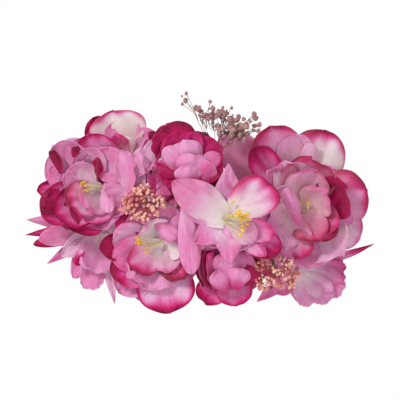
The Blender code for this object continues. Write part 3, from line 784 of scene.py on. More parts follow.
LEFT_LILY = Blossom("left_lily", (-46, 10, 16), -6, 4, {
    "petals": [
        Petal(-41, 53, -2, 15, Dye(0.34, 0.36, 0.4, 2, 0.4), cup=44),
        Petal(-37, 51, 9, 16, Dye(0.5, 0.26, 0.34, 2), cup=20, outline=Outline.SPOON),
        Petal(-40, 30, 11, 6, Dye(0.86, 0.92, 0.96), cup=50, outline=Outline.POINTED),
        Petal(-32, 37, 13, 22, Dye(0.68, 0.56, 0.36, 3), cup=16, outline=Outline.SAIL, foot=(14, -4, 2), roll=0.6),
        Petal(-70, -6, 2, 24, BRIGHT),
        Petal(-60, -12, 4, 24, Dye(0.6, 0.62, 0.8, 4)),
        Petal(-16, -13, 4, 12, Dye(0.3, 0.34, 0.38, 2), foot=(4, -20, 4), cup=-30),
        Petal(-13, -6, 6, 17, Dye(0.55, 0.56, 0.7, 4, 0.7), cup=40),
        Petal(-11, 9, 7, 24, Dye(0.6, 0.54, 0.5, 2), hollow=6, cup=20),
        Petal(-76, 13, 13, 27, Dye(0.02, 0.38, 0.44, 1), ruffle=1.6, cup=-22, outline=Outline.SAIL),
        Petal(-62, 44, 14, 25, Dye(0.3, 0.36, 0.42, 1), ruffle=2.4, hollow=8, cup=34, foot=(-4, 0, 4),
              outline=Outline.SAIL),
        Petal(-50, 42, 13, 19, Dye(0.5, 0.34, 0.4, 1), ruffle=2.2, hollow=8, cup=-26, foot=(0, 0, 3),
              outline=Outline.SAIL),
    ],
}, Ring(6, 24, 74, 20, PINK, Outline.POINTED))

TOP_PEONY = Blossom("top_peony", (-8, 32, 20), 0, 20, {
    "outer_petals": [
        Petal(-41, 58, -2, 13, Dye(0.88, 0.92, 0.96)),
        Petal(-34, 47, 0, 24, Dye(0.84, 0.86, 0.92), cup=40),
        Petal(-28, 28, 0, 22, Dye(0.78, 0.78, 0.7)),
        Petal(5, 57, -1, 28, Dye(0.96, 0.98, 1), ruffle=2.0, cup=36),
        Petal(13, 47, 0, 22, Dye(0.94, 0.98, 1), ruffle=2.0),
        Petal(17, 19, 1, 24, Dye(0.84, 0.88, 0.94), cup=40),
        Petal(-27, 63, 3, 42, Dye(0.96, 0.82, 0.96, 5, lean=30), cup=40, hollow=30, roll=3, foot=(-4, 0, 0)),
        Petal(-37, 54, 5, 20, Dye(0.86, 0.8, 0.92, 3), cup=40, hollow=30),
        Petal(-9, 57, 6, 24, Dye(0.45, 0.58, 0.82, 4), cup=44, hollow=30, roll=3),
    ],
    "middle_petals": [
        Petal(-15, 52, 8, 32, Dye(0.56, 0.36, 0.34, 2), hollow=-34, cup=-42, foot=(0, -8, 4)),
        Petal(-29, 46, 9, 18, Dye(0.56, 0.36, 0.34, 2), hollow=-30, cup=-34, foot=(-4, -6, 4)),
        Petal(16, 41, 8, 19, Dye(0.6, 0.46, 0.48, 2), hollow=-24, cup=-34, foot=(6, -10, 4)),
    ],
    "inner_petals": [
        Petal(-6, 42, 15, 30, Dye(0.6, 0.38, 0.36, 2), hollow=-34, cup=-44, foot=(0, -12, 8), outline=Outline.HEART),
        Petal(10, 33, 17, 19, Dye(0.56, 0.48, 0.46, 2), hollow=-30, cup=-40, foot=(6, -14, 8)),
        Petal(-10, 32, 21, 26, Dye(0.6, 0.38, 0.36, 2), hollow=-34, cup=-44, foot=(0, -18, 12)),
    ],
}, Ring(7, 28, 68, 30, MAGENTA))

CENTRE_LILY = Blossom("centre_lily", (22, -13, 44), 8, 14, {
    "outer_petals": [
        Petal(22, 33, -6, 26, Dye(0.3, 0.36, 0.4, 1), outline=Outline.POINTED, ruffle=1.8, cup=16),
        Petal(-2, -34, -2, 22, Dye(0.3, 0.46, 0.46, 1), cup=-20, outline=Outline.SPOON),
        Petal(6, -31, 3, 34, Dye(0.3, 0.38, 0.42, 1), cup=-26, ruffle=1.8, outline=Outline.SAIL),
        Petal(36, -34, 2, 34, Dye(0.3, 0.38, 0.42, 1), cup=24, ruffle=1.8),
        Petal(-5, -54, 4, 18, Dye(0.3, 0.42, 0.46, 1), foot=(-35, 16, 2), cup=-24, hollow=10, ruffle=2.2),
        Petal(64, -37, -2, 26, Dye(0.26, 0.4, 0.94, 8, lean=-12), cup=22),
        Petal(49, -31, 1, 22, Dye(0.2, 0.36, 0.56, 3), cup=-24),
        Petal(52, -39, 5, 17, Dye(0.15, 0.36, 0.66, 3), cup=-26, outline=Outline.SPOON),
    ],
    "inner_petals": [
        Petal(59, -24, 3, 19, Dye(0.2, 0.4, 0.74, 3), hollow=10, cup=30),
        Petal(44, -27, 5, 20, Dye(0.1, 0.3, 0.46, 2, 0.7), hollow=12, cup=24),
        Petal(-20, 21, 8, 31, Dye(0, 0.44, 0.5, 2, 0.3), outline=Outline.SAIL, hollow=-8, cup=-18,
              ruffle=2.6, sway=-3),
        Petal(-15, 6, 5, 26, Dye(0.1, 0.5, 0.54, 1, 0.2), outline=Outline.SAIL, hollow=8, cup=22, ruffle=2.4),
        Petal(54, 20, 6, 36, Dye(0, 0.16, 0.9, 8, 0.3, -34), outline=Outline.BROAD, hollow=8, cup=16,
              ruffle=1.8, sway=3),
    ],
}, Ring(6, 34, 80, 24, MAUVE, Outline.POINTED, 30, 4))

RIGHT_MAGNOLIA = Blossom("right_magnolia", (84, -6, 8), 22, 6, {
    "outer_petals": [
        Petal(18, 57, -10, 36, Dye(0.4, 0.42, 0.46, 2, 0.5), cup=-10, foot=(-16, 10, -6), ruffle=1.6),
        Petal(101, 61, -14, 47, Dye(0.2, 0, 0.98, 8, 0.7, -10), cup=-14, foot=(2, 8, -8)),
        Petal(57, 64, -9, 44, Dye(0.04, 0.34, 0.92, 5, 0.5, -24), cup=14, foot=(-4, 8, -6), ruffle=2.2),
        Petal(77, 58, -10, 34, Dye(0.04, 0.32, 0.42, 2, 0.5), cup=14, foot=(0, 8, -7), ruffle=1.6),
        Petal(89, 50, -6, 18, Dye(0.12, 0.24, 0.3, 2, 0.4), cup=-40, foot=(2, 10, -2), sway=3),
        Petal(131, -24, -8, 36, Dye(0.14, 0.1, 0.56, 5, 0.8), foot=(4, 0, -6), cup=-14),
        Petal(135, 12, -4, 46, Dye(0.24, 0.34, 0.94, 7, 0.5, -32), foot=(4, 2, -4), ruffle=1.8, cup=-10),
        Petal(86, -50, 6, 52, Dye(0.18, 0.34, 0.42, 2), cup=22, ruffle=1.8),
        Petal(112, -40, 10, 44, Dye(0.14, 0.26, 0.34, 2, lean=-30), cup=30, hollow=24, ruffle=2.2, foot=(0, -6, 0)),
        Petal(45, 47, 6, 28, Dye(0.26, 0.42, 0.88, 9), foot=(-14, 8, 4), face=-14),
    ],
    "middle_petals": [
        Petal(70, 34, 12, 36, Dye(0.2, 0.24, 0.4, 2, 0.8), hollow=30, cup=40),
        Petal(90, 36, 12, 48, Dye(0.3, 0.46, 0.92, 5, 0.9, 24), hollow=30, cup=44, outline=Outline.BROAD),
        Petal(57, 4, 14, 36, Dye(0.2, 0.28, 0.42, 2, 0.7), hollow=24, cup=40),
        Petal(117, 11, 16, 40, Dye(0.5, 0.88, 0.9, 10, 0, -10), hollow=20, cup=34, outline=Outline.BROAD,
              foot=(8, 0, -4)),
        Petal(67, -34, 15, 26, Dye(0.16, 0.3, 0.36, 2), cup=30, hollow=24, ruffle=2.0, foot=(-8, 4, 4)),
        Petal(84, -42, 16, 28, Dye(0.2, 0.34, 0.88, 4, 0.5), foot=(-16, 8, 6), cup=36),
        Petal(108, -24, 14, 30, Dye(0.34, 0.54, 0.96, 6, 0.5), hollow=24, cup=40, foot=(-2, 0, 4)),
    ],
    "inner_petals": [
        Petal(88, 27, 17, 40, Dye(0.3, 0.32, 0.66, 3, 1, 20), hollow=28, cup=44),
        Petal(99, 9, 20, 34, Dye(0.3, 0.34, 0.6, 3, 1, -20), hollow=30, cup=44),
        Petal(109, -17, 17, 30, Dye(0.36, 0.58, 0.8, 5, 0.6), hollow=24, cup=40),
        Petal(93, -28, 20, 32, Dye(0.34, 0.54, 0.96, 5, 0.6), hollow=24, cup=40),
        Petal(70, 14, 24, 14, Dye(0.46, 0.38, 0.4, 2), hollow=-24, cup=-62, foot=(-4, -11, 12), sway=-4),
    ],
}, Ring(8, 44, 78, 42, MAUVE, back=4))

LOWER_LEFT_PEONY = Blossom("lower_left_peony", (-29, -30, 22), -14, -18, {
    "outer_petals": [
        Petal(-66, -10, -1, 26, Dye(0.5, 0.64, 0.84, 5)),
        Petal(-46, -8, -2, 24, Dye(0.4, 0.6, 0.8, 5)),
        Petal(-22, -12, -3, 24, Dye(0.2, 0.4, 0.6, 3, 0.5)),
        Petal(-3, -42, 0, 32, Dye(0.3, 0.42, 0.46, 2)),
        Petal(-79, -36, 13, 27, Dye(0.6, 0.84, 0.94, 6), cup=36, hollow=20, ruffle=0.4),
        Petal(-65, -70, 3, 36, Dye(0.2, 0.38, 0.44, 2), cup=20, hollow=12),
        Petal(-47, -78, -1, 40, Dye(0.2, 0.36, 0.42, 2), cup=20, hollow=10, ruffle=1.6),
        Petal(-6, -58, 2, 30, Dye(0.3, 0.4, 0.56, 3)),
        Petal(-25, -86, 6, 48, Dye(0.4, 0.26, 0.96, 7, lean=16), cup=20, foot=(-4, -6, 2), hollow=8,
              ruffle=2.0, sway=-3),
    ],
    "middle_petals": [
        Petal(-16, -30, 12, 28, Dye(0, 0.06, 0.6, 3, 0.3), hollow=20, cup=34),
        Petal(-69, -43, 13, 30, Dye(0.1, 0.46, 0.6, 2), hollow=16, cup=34),
        Petal(-38, -67, 12, 44, Dye(0.3, 0.36, 0.44, 1.5), hollow=14, cup=22, ruffle=2.4),
        Petal(-54, -58, 15, 30, Dye(0.2, 0.38, 0.46, 1.5), hollow=14, cup=26, ruffle=2),
        Petal(-67, -60, 12, 36, Dye(0.4, 0.46, 0.98, 11, lean=10), hollow=14, cup=24),
        Petal(-13, -58, 14, 32, Dye(0.2, 0.4, 0.98, 12, 0.4, 0), hollow=14, cup=28),
        Petal(-18, -27, 17, 16, Dye(0.44, 0.38, 0.6, 1.5), hollow=-14, cup=-34, foot=(-8, 19, 6)),
    ],
    "inner_petals": [
        Petal(-44, -18, 11, 36, Dye(0, 0.04, 0.42, 2, 0.15), hollow=24, cup=36),
        Petal(-69, -26, 11, 28, Dye(0.02, 0.3, 0.5, 2), hollow=20, cup=36),
        Petal(-26, -52, 13, 28, Dye(0.06, 0.28, 0.6, 2, 0.7), hollow=20, cup=40),
        Petal(-53, -51, 22, 28, Dye(0, 0.42, 0.98, 5, 0.3, -24), hollow=20, cup=30),
    ],
}, Ring(7, 36, 76, 34, MAUVE, back=2))

LOWER_PEONY = Blossom("lower_peony", (24, -50, 22), 4, -20, {
    "outer_petals": [
        Petal(-4, -50, 3, 34, Dye(0.6, 0.78, 0.94, 8), cup=40),
        Petal(-1, -30, 2, 24, PINK),
        Petal(34, -30, 4, 30, MAUVE),
        Petal(48, -50, 7, 30, Dye(0.6, 0.74, 0.96, 9), cup=36),
        Petal(5, -79, 3, 27, Dye(0.5, 0.46, 0.92, 7), foot=(-7, -4, 0)),
        Petal(30, -80, 5, 31, Dye(0.6, 0.42, 0.86, 4)),
    ],
    "middle_petals": [
        Petal(0, -35, 13, 13, Dye(0.9, 0.92, 0.96), face=58, foot=(-21, -16, 6)),
        Petal(3, -34, 15, 13, Dye(0.6, 0.56, 0.8, 2), face=58, foot=(-18, -17, 8)),
        Petal(6, -35, 17, 13, Dye(0.84, 0.84, 0.92), face=58, foot=(-15, -18, 10)),
        Petal(10, -37, 18, 14, Dye(0.56, 0.54, 0.8, 2), face=52, foot=(-12, -18, 11)),
        Petal(34, -37, 16, 28, Dye(0.7, 0.44, 0.5, 2), hollow=-34, cup=-46, foot=(4, -14, 4)),
        Petal(18, -38, 18, 22, Dye(0.7, 0.42, 0.46, 2), hollow=-34, cup=-46, foot=(-2, -14, 4)),
    ],
    "inner_petals": [
        Petal(43, -50, 16, 22, Dye(0.88, 0.74, 0.94, 6), hollow=-30, cup=-44, foot=(10, -14, 6)),
        Petal(14, -52, 21, 20, Dye(0.66, 0.4, 0.46, 2), hollow=-34, cup=-50, foot=(-3, -20, 8)),
        Petal(31, -50, 22, 22, Dye(0.7, 0.36, 0.44, 2), hollow=-30, cup=-44, foot=(5, -18, 10)),
        Petal(22, -44, 19, 20, Dye(0.7, 0.36, 0.42, 2), hollow=-30, cup=-44, foot=(0, -12, 8)),
    ],
}, Ring(7, 27, 70, 28, PINK, back=2))

LOW_LEFT_LILY = Blossom("low_left_lily", (-76, -16, -14), -34, -16, {
    "outer_petals": [
        Petal(-142, -12, -6, 19, Dye(0.15, 0.38, 0.42, 1), outline=Outline.POINTED),
        Petal(-136, -33, -2, 15, Dye(0.2, 0.52, 0.96, 7), outline=Outline.SPOON),
        Petal(-142, -25, 1, 14, Dye(0.2, 0.4, 0.9, 2.5), outline=Outline.POINTED, cup=50),
        Petal(-125, -48, -4, 15, Dye(0.2, 0.44, 0.5, 2), outline=Outline.POINTED),
        Petal(-104, -59, 0, 23, Dye(0.15, 0.42, 0.44, 1), outline=Outline.SPOON),
        Petal(-92, -70, 2, 24, Dye(0.12, 0.4, 0.42, 1), outline=Outline.TORN),
        Petal(-71, -80, 4, 14, Dye(0.03, 0.22, 0.42, 1, 0.3), outline=Outline.POINTED, foot=(-2, -6, 2)),
    ],
    "inner_petals": [
        Petal(-131, -28, 7, 22, Dye(0.16, 0.44, 0.5, 1, 0.3), outline=Outline.SPOON, cup=36),
        Petal(-112, -41, 6, 20, Dye(0.05, 0.22, 0.28, 1), outline=Outline.SPOON),
        Petal(-89, -54, 9, 36, Dye(0.06, 0.36, 0.42, 1), outline=Outline.TORN, cup=20),
        Petal(-101, -49, 12, 8, Dye(0.3, 0.8, 0.86, 8), outline=Outline.SPOON, foot=(-20, -20, 8)),
    ],
}, Ring(6, 46, 82, 20, MAUVE, Outline.POINTED, 15, 2))

LOW_RIGHT_LILY = Blossom("low_right_lily", (80, -52, -6), 26, -16, {
    "outer_petals": [
        Petal(143, -39, -6, 7, Dye(0.34, 0.42, 0.94, 2), outline=Outline.POINTED, foot=(20, 7, -2), cup=30, sway=-5),
        Petal(118, -45, -4, 22, Dye(0.3, 0.46, 0.54, 1, 0.2), outline=Outline.TORN),
        Petal(120, -58, -2, 22, Dye(0.2, 0.46, 0.6, 2), outline=Outline.TORN),
        Petal(117, -72, 3, 22, Dye(0.06, 0.4, 0.46, 1), outline=Outline.TORN, cup=-30, hollow=8),
        Petal(92, -82, 3, 24, Dye(0, 0.34, 0.4, 1), outline=Outline.TORN, cup=14, hollow=8),
        Petal(105, -79, 5, 22, Dye(0, 0.36, 0.42, 1), outline=Outline.TORN, cup=-30, hollow=8),
        Petal(46, -78, -5, 12, Dye(0.2, 0.44, 0.5, 2), outline=Outline.POINTED, foot=(-12, -10, 0)),
        Petal(56, -66, -4, 30, Dye(0.4, 0.5, 0.6, 2)),
        Petal(50, -48, -5, 26, Dye(0.5, 0.6, 0.7, 2)),
    ],
    "inner_petals": [
        Petal(117, -60, 6, 16, Dye(0.03, 0.36, 0.6, 2), outline=Outline.SPOON, cup=-36, hollow=8),
        Petal(108, -68, 8, 15, Dye(0, 0.3, 0.4, 1), outline=Outline.SPOON, cup=-40, hollow=8),
        Petal(97, -74, 8, 15, Dye(0, 0.24, 0.36, 1), outline=Outline.SPOON, cup=-40, hollow=8),
    ],
}, Ring(6, 32, 82, 20, MAUVE, Outline.POINTED, 15, 2))

BLOSSOMS = (
    LEFT_PEONY, UPPER_LEFT_MAGNOLIA, LEFT_LILY, TOP_PEONY, CENTRE_LILY, RIGHT_MAGNOLIA,
    LOWER_LEFT_PEONY, LOWER_PEONY, LOW_LEFT_LILY, LOW_RIGHT_LILY,
)


# ---- geometry node trees ---------------------------------------------------------------------


class NodeTool:
    """A Geometry Nodes tree with named inputs, used once on each object that it is given to.

    Args:
        name: The tree's name.
        sizes: Its inputs' names, with a default that also sets their kind.
    """

    KINDS = {float: "NodeSocketFloat", int: "NodeSocketInt", tuple: "NodeSocketVector"}

    def __init__(self, name: str, sizes: dict) -> None:
        self.tree = bpy.data.node_groups.new(name, "GeometryNodeTree")
        for way in ("INPUT", "OUTPUT"):
            self.tree.interface.new_socket("Geometry", in_out=way, socket_type="NodeSocketGeometry")
        self.keys = {}
        for label, value in sizes.items():
            kind = "NodeSocketMaterial" if value is None else self.KINDS[type(value)]
            socket = self.tree.interface.new_socket(label, in_out="INPUT", socket_type=kind)
            if value is not None:
                socket.default_value = value
            self.keys[label] = socket.identifier
        self.wire = Wiring(self.tree)
        self.inputs = self.wire.add("NodeGroupInput").outputs
        self.output = self.wire.add("NodeGroupOutput").inputs[0]

    def finish(self, *parts: tuple) -> None:
        """Ends the tree: each part is its geometry and the name of its material's input."""
        joined = self.wire.add("GeometryNodeJoinGeometry")
        for geometry, label in parts:
            real = self.wire.geo("RealizeInstances", {0: geometry})
            dressed = self.wire.geo("SetMaterial", {"Geometry": real, "Material": self.inputs[label]})
            self.wire.link(dressed, joined.inputs[0])
        self.wire.link(self.wire.geo("SetShadeSmooth", {"Geometry": joined.outputs[0]}), self.output)

    def plant(self, points, shape, angle, size) -> bpy.types.NodeSocket:
        """The shape repeated on each point."""
        return self.wire.geo(
            "InstanceOnPoints", {"Points": points, "Instance": shape, "Rotation": angle, "Scale": size}
        )

    def use(self, piece: bpy.types.Object, **values) -> bpy.types.Object:
        """Runs the tree on a piece and keeps its result as a plain mesh.

        Args:
            piece: The object to run it on.
            values: Its inputs, with underscores for spaces.

        Returns:
            The plain piece.
        """
        step = piece.modifiers.new(self.tree.name, "NODES")
        step.node_group = self.tree
        for label, value in values.items():
            step[self.keys[label.replace("_", " ")]] = value
        return applied(piece)


def stamen_tool() -> NodeTool:
    """A tuft of bent threads with a wax-tipped anther on each."""
    tool = NodeTool("stamen_tuft", {
        "Count": 12, "Length": 0.016, "Lean": 0.5, "Bend": 0.004, "Thread": 0.00035,
        "Anther": 0.0022, "Seed": 3, "Filament": None, "Tip": None,
    })
    wire, given = tool.wire, tool.inputs
    seed, spread = given["Seed"], 0.0014
    scatter = wire.random((-spread, -spread, 0.0), (spread, spread, 0.0), seed)
    points = wire.geo("Points", {"Count": given["Count"], "Position": scatter})
    top = wire.vector(given["Bend"], z=given["Length"])
    knee = wire.vector(z=wire.math("MULTIPLY", given["Length"], 0.6))
    thread = wire.geo("CurveQuadraticBezier", {"Resolution": 8, "Start": (0, 0, 0), "Middle": knee, "End": top})
    girth = wire.geo("CurvePrimitiveCircle", {"Resolution": 6, "Radius": given["Thread"]})
    tube = wire.geo("CurveToMesh", {0: thread, 1: girth, "Fill Caps": True})
    anther = wire.geo("MeshIcoSphere", {"Radius": 1.0, "Subdivisions": 2})
    shape = wire.scaled((0.34, 0.34, 0.62), given["Anther"])
    anther = wire.geo("Transform", {"Geometry": anther, "Translation": top, "Scale": shape})
    lean = wire.math("MULTIPLY", wire.random(0.0, 1.0, seed), given["Lean"])
    angle = wire.vector(lean, z=wire.random(0.0, tau, wire.math("ADD", seed, 7)))
    size = wire.random(0.75, 1.1, wire.math("ADD", seed, 3))
    tool.finish(
        (tool.plant(points, tube, angle, size), "Filament"), (tool.plant(points, anther, angle, size), "Tip")
    )
    return tool


def rice_tool() -> NodeTool:
    """Small closed buds on stalks, scattered over the mesh that it runs on."""
    tool = NodeTool("rice_flower_buds", {
        "Density": 90000.0, "Bud": 0.0021, "Stalk": 0.009, "Depth": 0.5, "Seed": 5, "Petals": None, "Wood": None,
    })
    wire, given = tool.wire, tool.inputs
    seed = given["Seed"]
    spots = wire.add(
        "GeometryNodeDistributePointsOnFaces",
        {"Mesh": given["Geometry"], "Distance Min": 0.0024, "Density Max": given["Density"], "Seed": seed},
        distribute_method="POISSON",
    ).outputs
    inward = wire.math("MULTIPLY", wire.math("MULTIPLY", wire.random(0.0, 1.0, seed), -0.009), given["Depth"])
    moved = wire.geo("SetPosition", {"Geometry": spots[0], "Offset": wire.scaled(spots[1], inward)})
    bud = wire.geo("MeshUVSphere", {"Segments": 7, "Rings": 5, "Radius": 1.0})
    bud = wire.geo("Transform", {"Geometry": bud, "Scale": wire.scaled((0.62, 0.62, 1.0), given["Bud"])})
    stalk = wire.geo(
        "MeshCone", {"Vertices": 5, "Radius Top": 0.00022, "Radius Bottom": 0.00032, "Depth": given["Stalk"]}
    )
    down = wire.vector(z=wire.math("MULTIPLY", given["Stalk"], -1.1))
    stalk = wire.geo("Transform", {"Geometry": stalk, "Translation": down})
    wobble = wire.random((-0.5, -0.5, 0.0), (0.5, 0.5, tau), wire.math("ADD", seed, 2))
    angle = wire.out("FunctionNodeRotateRotation", {0: spots[2], 1: wobble}, rotation_space="LOCAL")
    size = wire.random(0.7, 1.2, wire.math("ADD", seed, 4))
    tool.finish((tool.plant(moved, bud, angle, size), "Petals"), (tool.plant(moved, stalk, angle, size), "Wood"))
    return tool


def twig_tool() -> NodeTool:
    """Thin twigs along a skeleton's edges, with a crumpled floret on each loose end."""
    tool = NodeTool("gypsophila_twigs", {"Twig": 0.00022, "Floret": 0.0019, "Seed": 9, "Bark": None, "Bloom": None})
    wire, given = tool.wire, tool.inputs
    lines = wire.geo("MeshToCurve", {0: given["Geometry"]})
    girth = wire.geo("CurvePrimitiveCircle", {"Resolution": 5, "Radius": given["Twig"]})
    twigs = wire.geo("CurveToMesh", {0: lines, 1: girth, "Fill Caps": True})
    loose = wire.geo("InputNamedAttribute", {"Name": "floret"}, data_type="FLOAT")
    picked = wire.out("FunctionNodeCompare", {0: loose, 1: 0.5}, data_type="FLOAT", operation="GREATER_THAN")
    ball = wire.geo("MeshIcoSphere", {"Radius": 1.0, "Subdivisions": 3})
    noise = {"Vector": wire.geo("InputPosition"), "Scale": 2.6, "Detail": 3.0}
    crumple = wire.math("MULTIPLY", wire.math("SUBTRACT", wire.out("ShaderNodeTexNoise", noise), 0.5), 1.5)
    ball = wire.geo("SetPosition", {"Geometry": ball, "Offset": wire.scaled(wire.geo("InputNormal"), crumple)})
    ball = wire.geo("Transform", {"Geometry": ball, "Scale": wire.scaled((1.0, 0.8, 0.9), given["Floret"])})
    angle = wire.random((0.0, 0.0, 0.0), (tau, tau, tau), given["Seed"])
    placed = wire.geo("InstanceOnPoints", {
        "Points": given["Geometry"], "Selection": picked, "Instance": ball, "Rotation": angle, "Scale": loose,
    })
    tool.finish((twigs, "Bark"), (placed, "Bloom"))
    return tool


def tape_tool() -> NodeTool:
    """A tube along a curve, with the stepped spiral that overlapping tape leaves."""
    tool = NodeTool("wound_tape", {
        "Radius": 0.0022, "Pitch": 0.006, "Step": 0.0003, "Segment": 0.0009, "Finish": None,
    })
    wire, given = tool.wire, tool.inputs

    def keep(geometry, name: str, value) -> bpy.types.NodeSocket:
        """Stores a value on each point under a name."""
        inputs = {"Geometry": geometry, "Name": name, "Value": value}
        return wire.geo("StoreNamedAttribute", inputs, data_type="FLOAT", domain="POINT")

    def kept(name: str) -> bpy.types.NodeSocket:
        """The value that was stored under a name."""
        return wire.geo("InputNamedAttribute", {"Name": name}, data_type="FLOAT")

    spline = wire.add("GeometryNodeSplineParameter").outputs
    path = wire.geo("ResampleCurve", {"Curve": given["Geometry"], "Length": given["Segment"]}, mode="LENGTH")
    path = keep(path, "along", spline[1])
    ring = wire.geo("CurvePrimitiveCircle", {"Resolution": 14, "Radius": given["Radius"]})
    ring = keep(ring, "turn", spline[0])
    tube = wire.geo("CurveToMesh", {0: path, 1: ring, "Fill Caps": True})
    turns = wire.math("ADD", wire.math("DIVIDE", kept("along"), given["Pitch"]), kept("turn"))
    step = wire.math("MULTIPLY", wire.math("FRACT", turns), given["Step"])
    wound = wire.geo("SetPosition", {"Geometry": tube, "Offset": wire.scaled(wire.geo("InputNormal"), step)})
    tool.finish((wound, "Finish"))
    return tool


def stitch_tool() -> NodeTool:
    """Short raised stitches at even steps along a curve."""
    tool = NodeTool("hand_stitches", {"Step": 0.0045, "Long": 0.0026, "Thick": 0.00035, "Thread": None})
    wire, given = tool.wire, tool.inputs
    inputs = {"Curve": given["Geometry"], "Length": given["Step"]}
    marks = wire.add("GeometryNodeCurveToPoints", inputs, mode="LENGTH").outputs
    body = wire.geo("MeshUVSphere", {"Segments": 8, "Rings": 6, "Radius": 0.5})
    size = wire.vector(given["Thick"], given["Thick"], given["Long"])
    body = wire.geo("Transform", {"Geometry": body, "Scale": size})
    placed = wire.geo("InstanceOnPoints", {"Points": marks[0], "Instance": body, "Rotation": marks[3]})
    tool.finish((placed, "Thread"))
    return tool


@dataclass(frozen=True)
class Tools:
    """The crown's Geometry Nodes trees, each made once."""

    stamens: NodeTool = field(default_factory=stamen_tool)
    rice: NodeTool = field(default_factory=rice_tool)
    twigs: NodeTool = field(default_factory=twig_tool)
    tape: NodeTool = field(default_factory=tape_tool)
    stitches: NodeTool = field(default_factory=stitch_tool)


def path_curve(name: str, points: list) -> bpy.types.Object:
    """An object with one POLY curve through those points."""
    data = bpy.data.curves.new(name, "CURVE")
    data.dimensions = "3D"
    line = data.splines.new("POLY")
    line.points.add(len(points) - 1)
    for point, spot in zip(line.points, points):
        point.co = (*spot, 1)
    return put(name, data)


def taped(
    name: str, points: list, tools: Tools, finish: bpy.types.Material, radius: float, pitch: float,
    segment: float = 0.9,
) -> bpy.types.Object:
    """A tube wound in tape through those points, with its sizes in millimetres."""
    return tools.tape.use(
        path_curve(name, points), Radius=radius * MM, Pitch=pitch * MM, Step=TAPE_STEP, Segment=segment * MM,
        Finish=finish,
    )


def stem_foot(node: str, up: int) -> tuple[np.ndarray, np.ndarray]:
    """Where a CAD stem leaves the band, above or below the rod, and its direction out from the head."""
    low, high = (np.array(corner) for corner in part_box(node))
    centre = np.array((0.0, HEAD_RADIUS, 0.0))
    corners = [np.array((x, y, 0)) for x in (low[0], high[0]) for y in (low[1], high[1])]
    nearest = min(corners, key=lambda c: np.hypot(c[0], c[1] - HEAD_RADIUS))
    outward = (nearest - centre) / np.linalg.norm(nearest - centre)
    root = centre + outward * ROD_RADIUS
    root[2] = ROD_OFFSET * up
    return root, outward


# ---- stamens, stems and sprays ---------------------------------------------------------------


@dataclass(frozen=True)
class StamenTuft:
    """The threads at a flower's heart, leaning right, up and out from it."""

    flower: str
    heart: tuple[float, float, float]
    aim: tuple[float, float, float]
    count: int
    length: float
    lean: float
    thread: float = 0.35
    anther: float = 2.2
    seed: int = 3

    def build(self, tools: Tools, palette: Palette) -> None:
        """Makes the tuft."""
        name = f"{self.flower}_stamens"
        piece = show(f"{name}_tuft", bpy.data.meshes.new(name))
        piece = tools.stamens.use(
            piece, Count=self.count, Length=self.length * MM, Lean=radians(self.lean), Thread=self.thread * MM / 2,
            Anther=self.anther * MM, Seed=self.seed, Filament=palette.filament, Tip=palette.anther,
        )
        turn = facing_along(Vector(place(*self.aim)).normalized())
        piece.data.transform(Matrix.Translation(Vector(place(*self.heart))) @ turn)
        settle(piece, "crown", "stamen", name)


@dataclass(frozen=True)
class TapedStem:
    """A wire stem wound in tape from the band to a flower's calyx, with its sepals.

    Args:
        flower: The flower's name.
        heart: Where the flower's petals meet.
        axis: The direction that the flower opens in.
        sepals: How many sepals the calyx has.
    """

    flower: str
    heart: tuple[float, float, float]
    axis: np.ndarray
    sepals: int = 5

    def build(self, tools: Tools, palette: Palette) -> None:
        """Makes the stem and its calyx as one piece."""
        node = f"{self.flower}_stem"
        heart = place(*self.heart)
        root, outward = stem_foot(node, 1 if heart[2] >= 0 else -1)
        end = heart - self.axis * 0.008
        pull = np.linalg.norm(end - root) * 0.5
        knots = (root, root + outward * pull, end - self.axis * pull, end)
        t = np.linspace(0, 1, STEM_KNOTS)[:, None]
        line = (1 - t) ** 3 * knots[0] + 3 * (1 - t) ** 2 * t * knots[1]
        line = line + 3 * (1 - t) * t**2 * knots[2] + t**3 * knots[3]
        stem = taped(f"{node}_taped", line.tolist(), tools, palette.tape, 1.3, 5)
        calyx = PetalStack(f"{node}_calyx", 10, 8)
        for away in spokes(self.axis, self.sepals):
            sepal = petal_between(
                heart, away * 0.8 + self.axis * -6.0, away * 12 - self.axis * 3.5, 7.5, Dye(0.5, 0.5, 0.5),
                hollow=12, cup=24, outline=Outline.POINTED, ruffle=0.2, roll=0.3,
            )
            calyx.lay(sepal, heart, self.axis)
        leaves = show(calyx.name, calyx.mesh(), palette.sepal)
        walled(leaves, SEPAL_SHEET)
        leaves = applied(leaves)
        bulb = bmesh.new()
        bmesh.ops.create_uvsphere(bulb, u_segments=14, v_segments=9, radius=0.0034)
        spot = Matrix.Translation(Vector(heart - self.axis * 0.0075))
        stretch = Matrix.Diagonal((1, 1, 1.5, 1))
        bmesh.ops.transform(bulb, matrix=spot @ facing_along(self.axis) @ stretch, verts=bulb.verts)
        cup = cast(f"{node}_cup", bulb)
        cup.shade_smooth()
        cup = show(f"{node}_cup", cup, palette.sepal)
        settle(join(f"{node}_wound", stem, leaves, cup), "crown", "stem", node)


def join(name: str, *pieces: bpy.types.Object) -> bpy.types.Object:
    """Joins finished pieces into one of that name, with each one's materials kept."""
    shape = bmesh.new()
    finishes: list[bpy.types.Material] = []
    for piece in pieces:
        first = len(shape.faces)
        shape.from_mesh(piece.data)
        shape.faces.ensure_lookup_table()
        slots = list(piece.data.materials)
        for face in shape.faces[first:]:
            finish = slots[min(face.material_index, len(slots) - 1)]
            if finish not in finishes:
                finishes.append(finish)
            face.material_index = finishes.index(finish)
            face.smooth = True
        bpy.data.objects.remove(piece, do_unlink=True)
    mesh = cast(name, shape)
    for finish in finishes:
        mesh.materials.append(finish)
    return show(name, mesh)


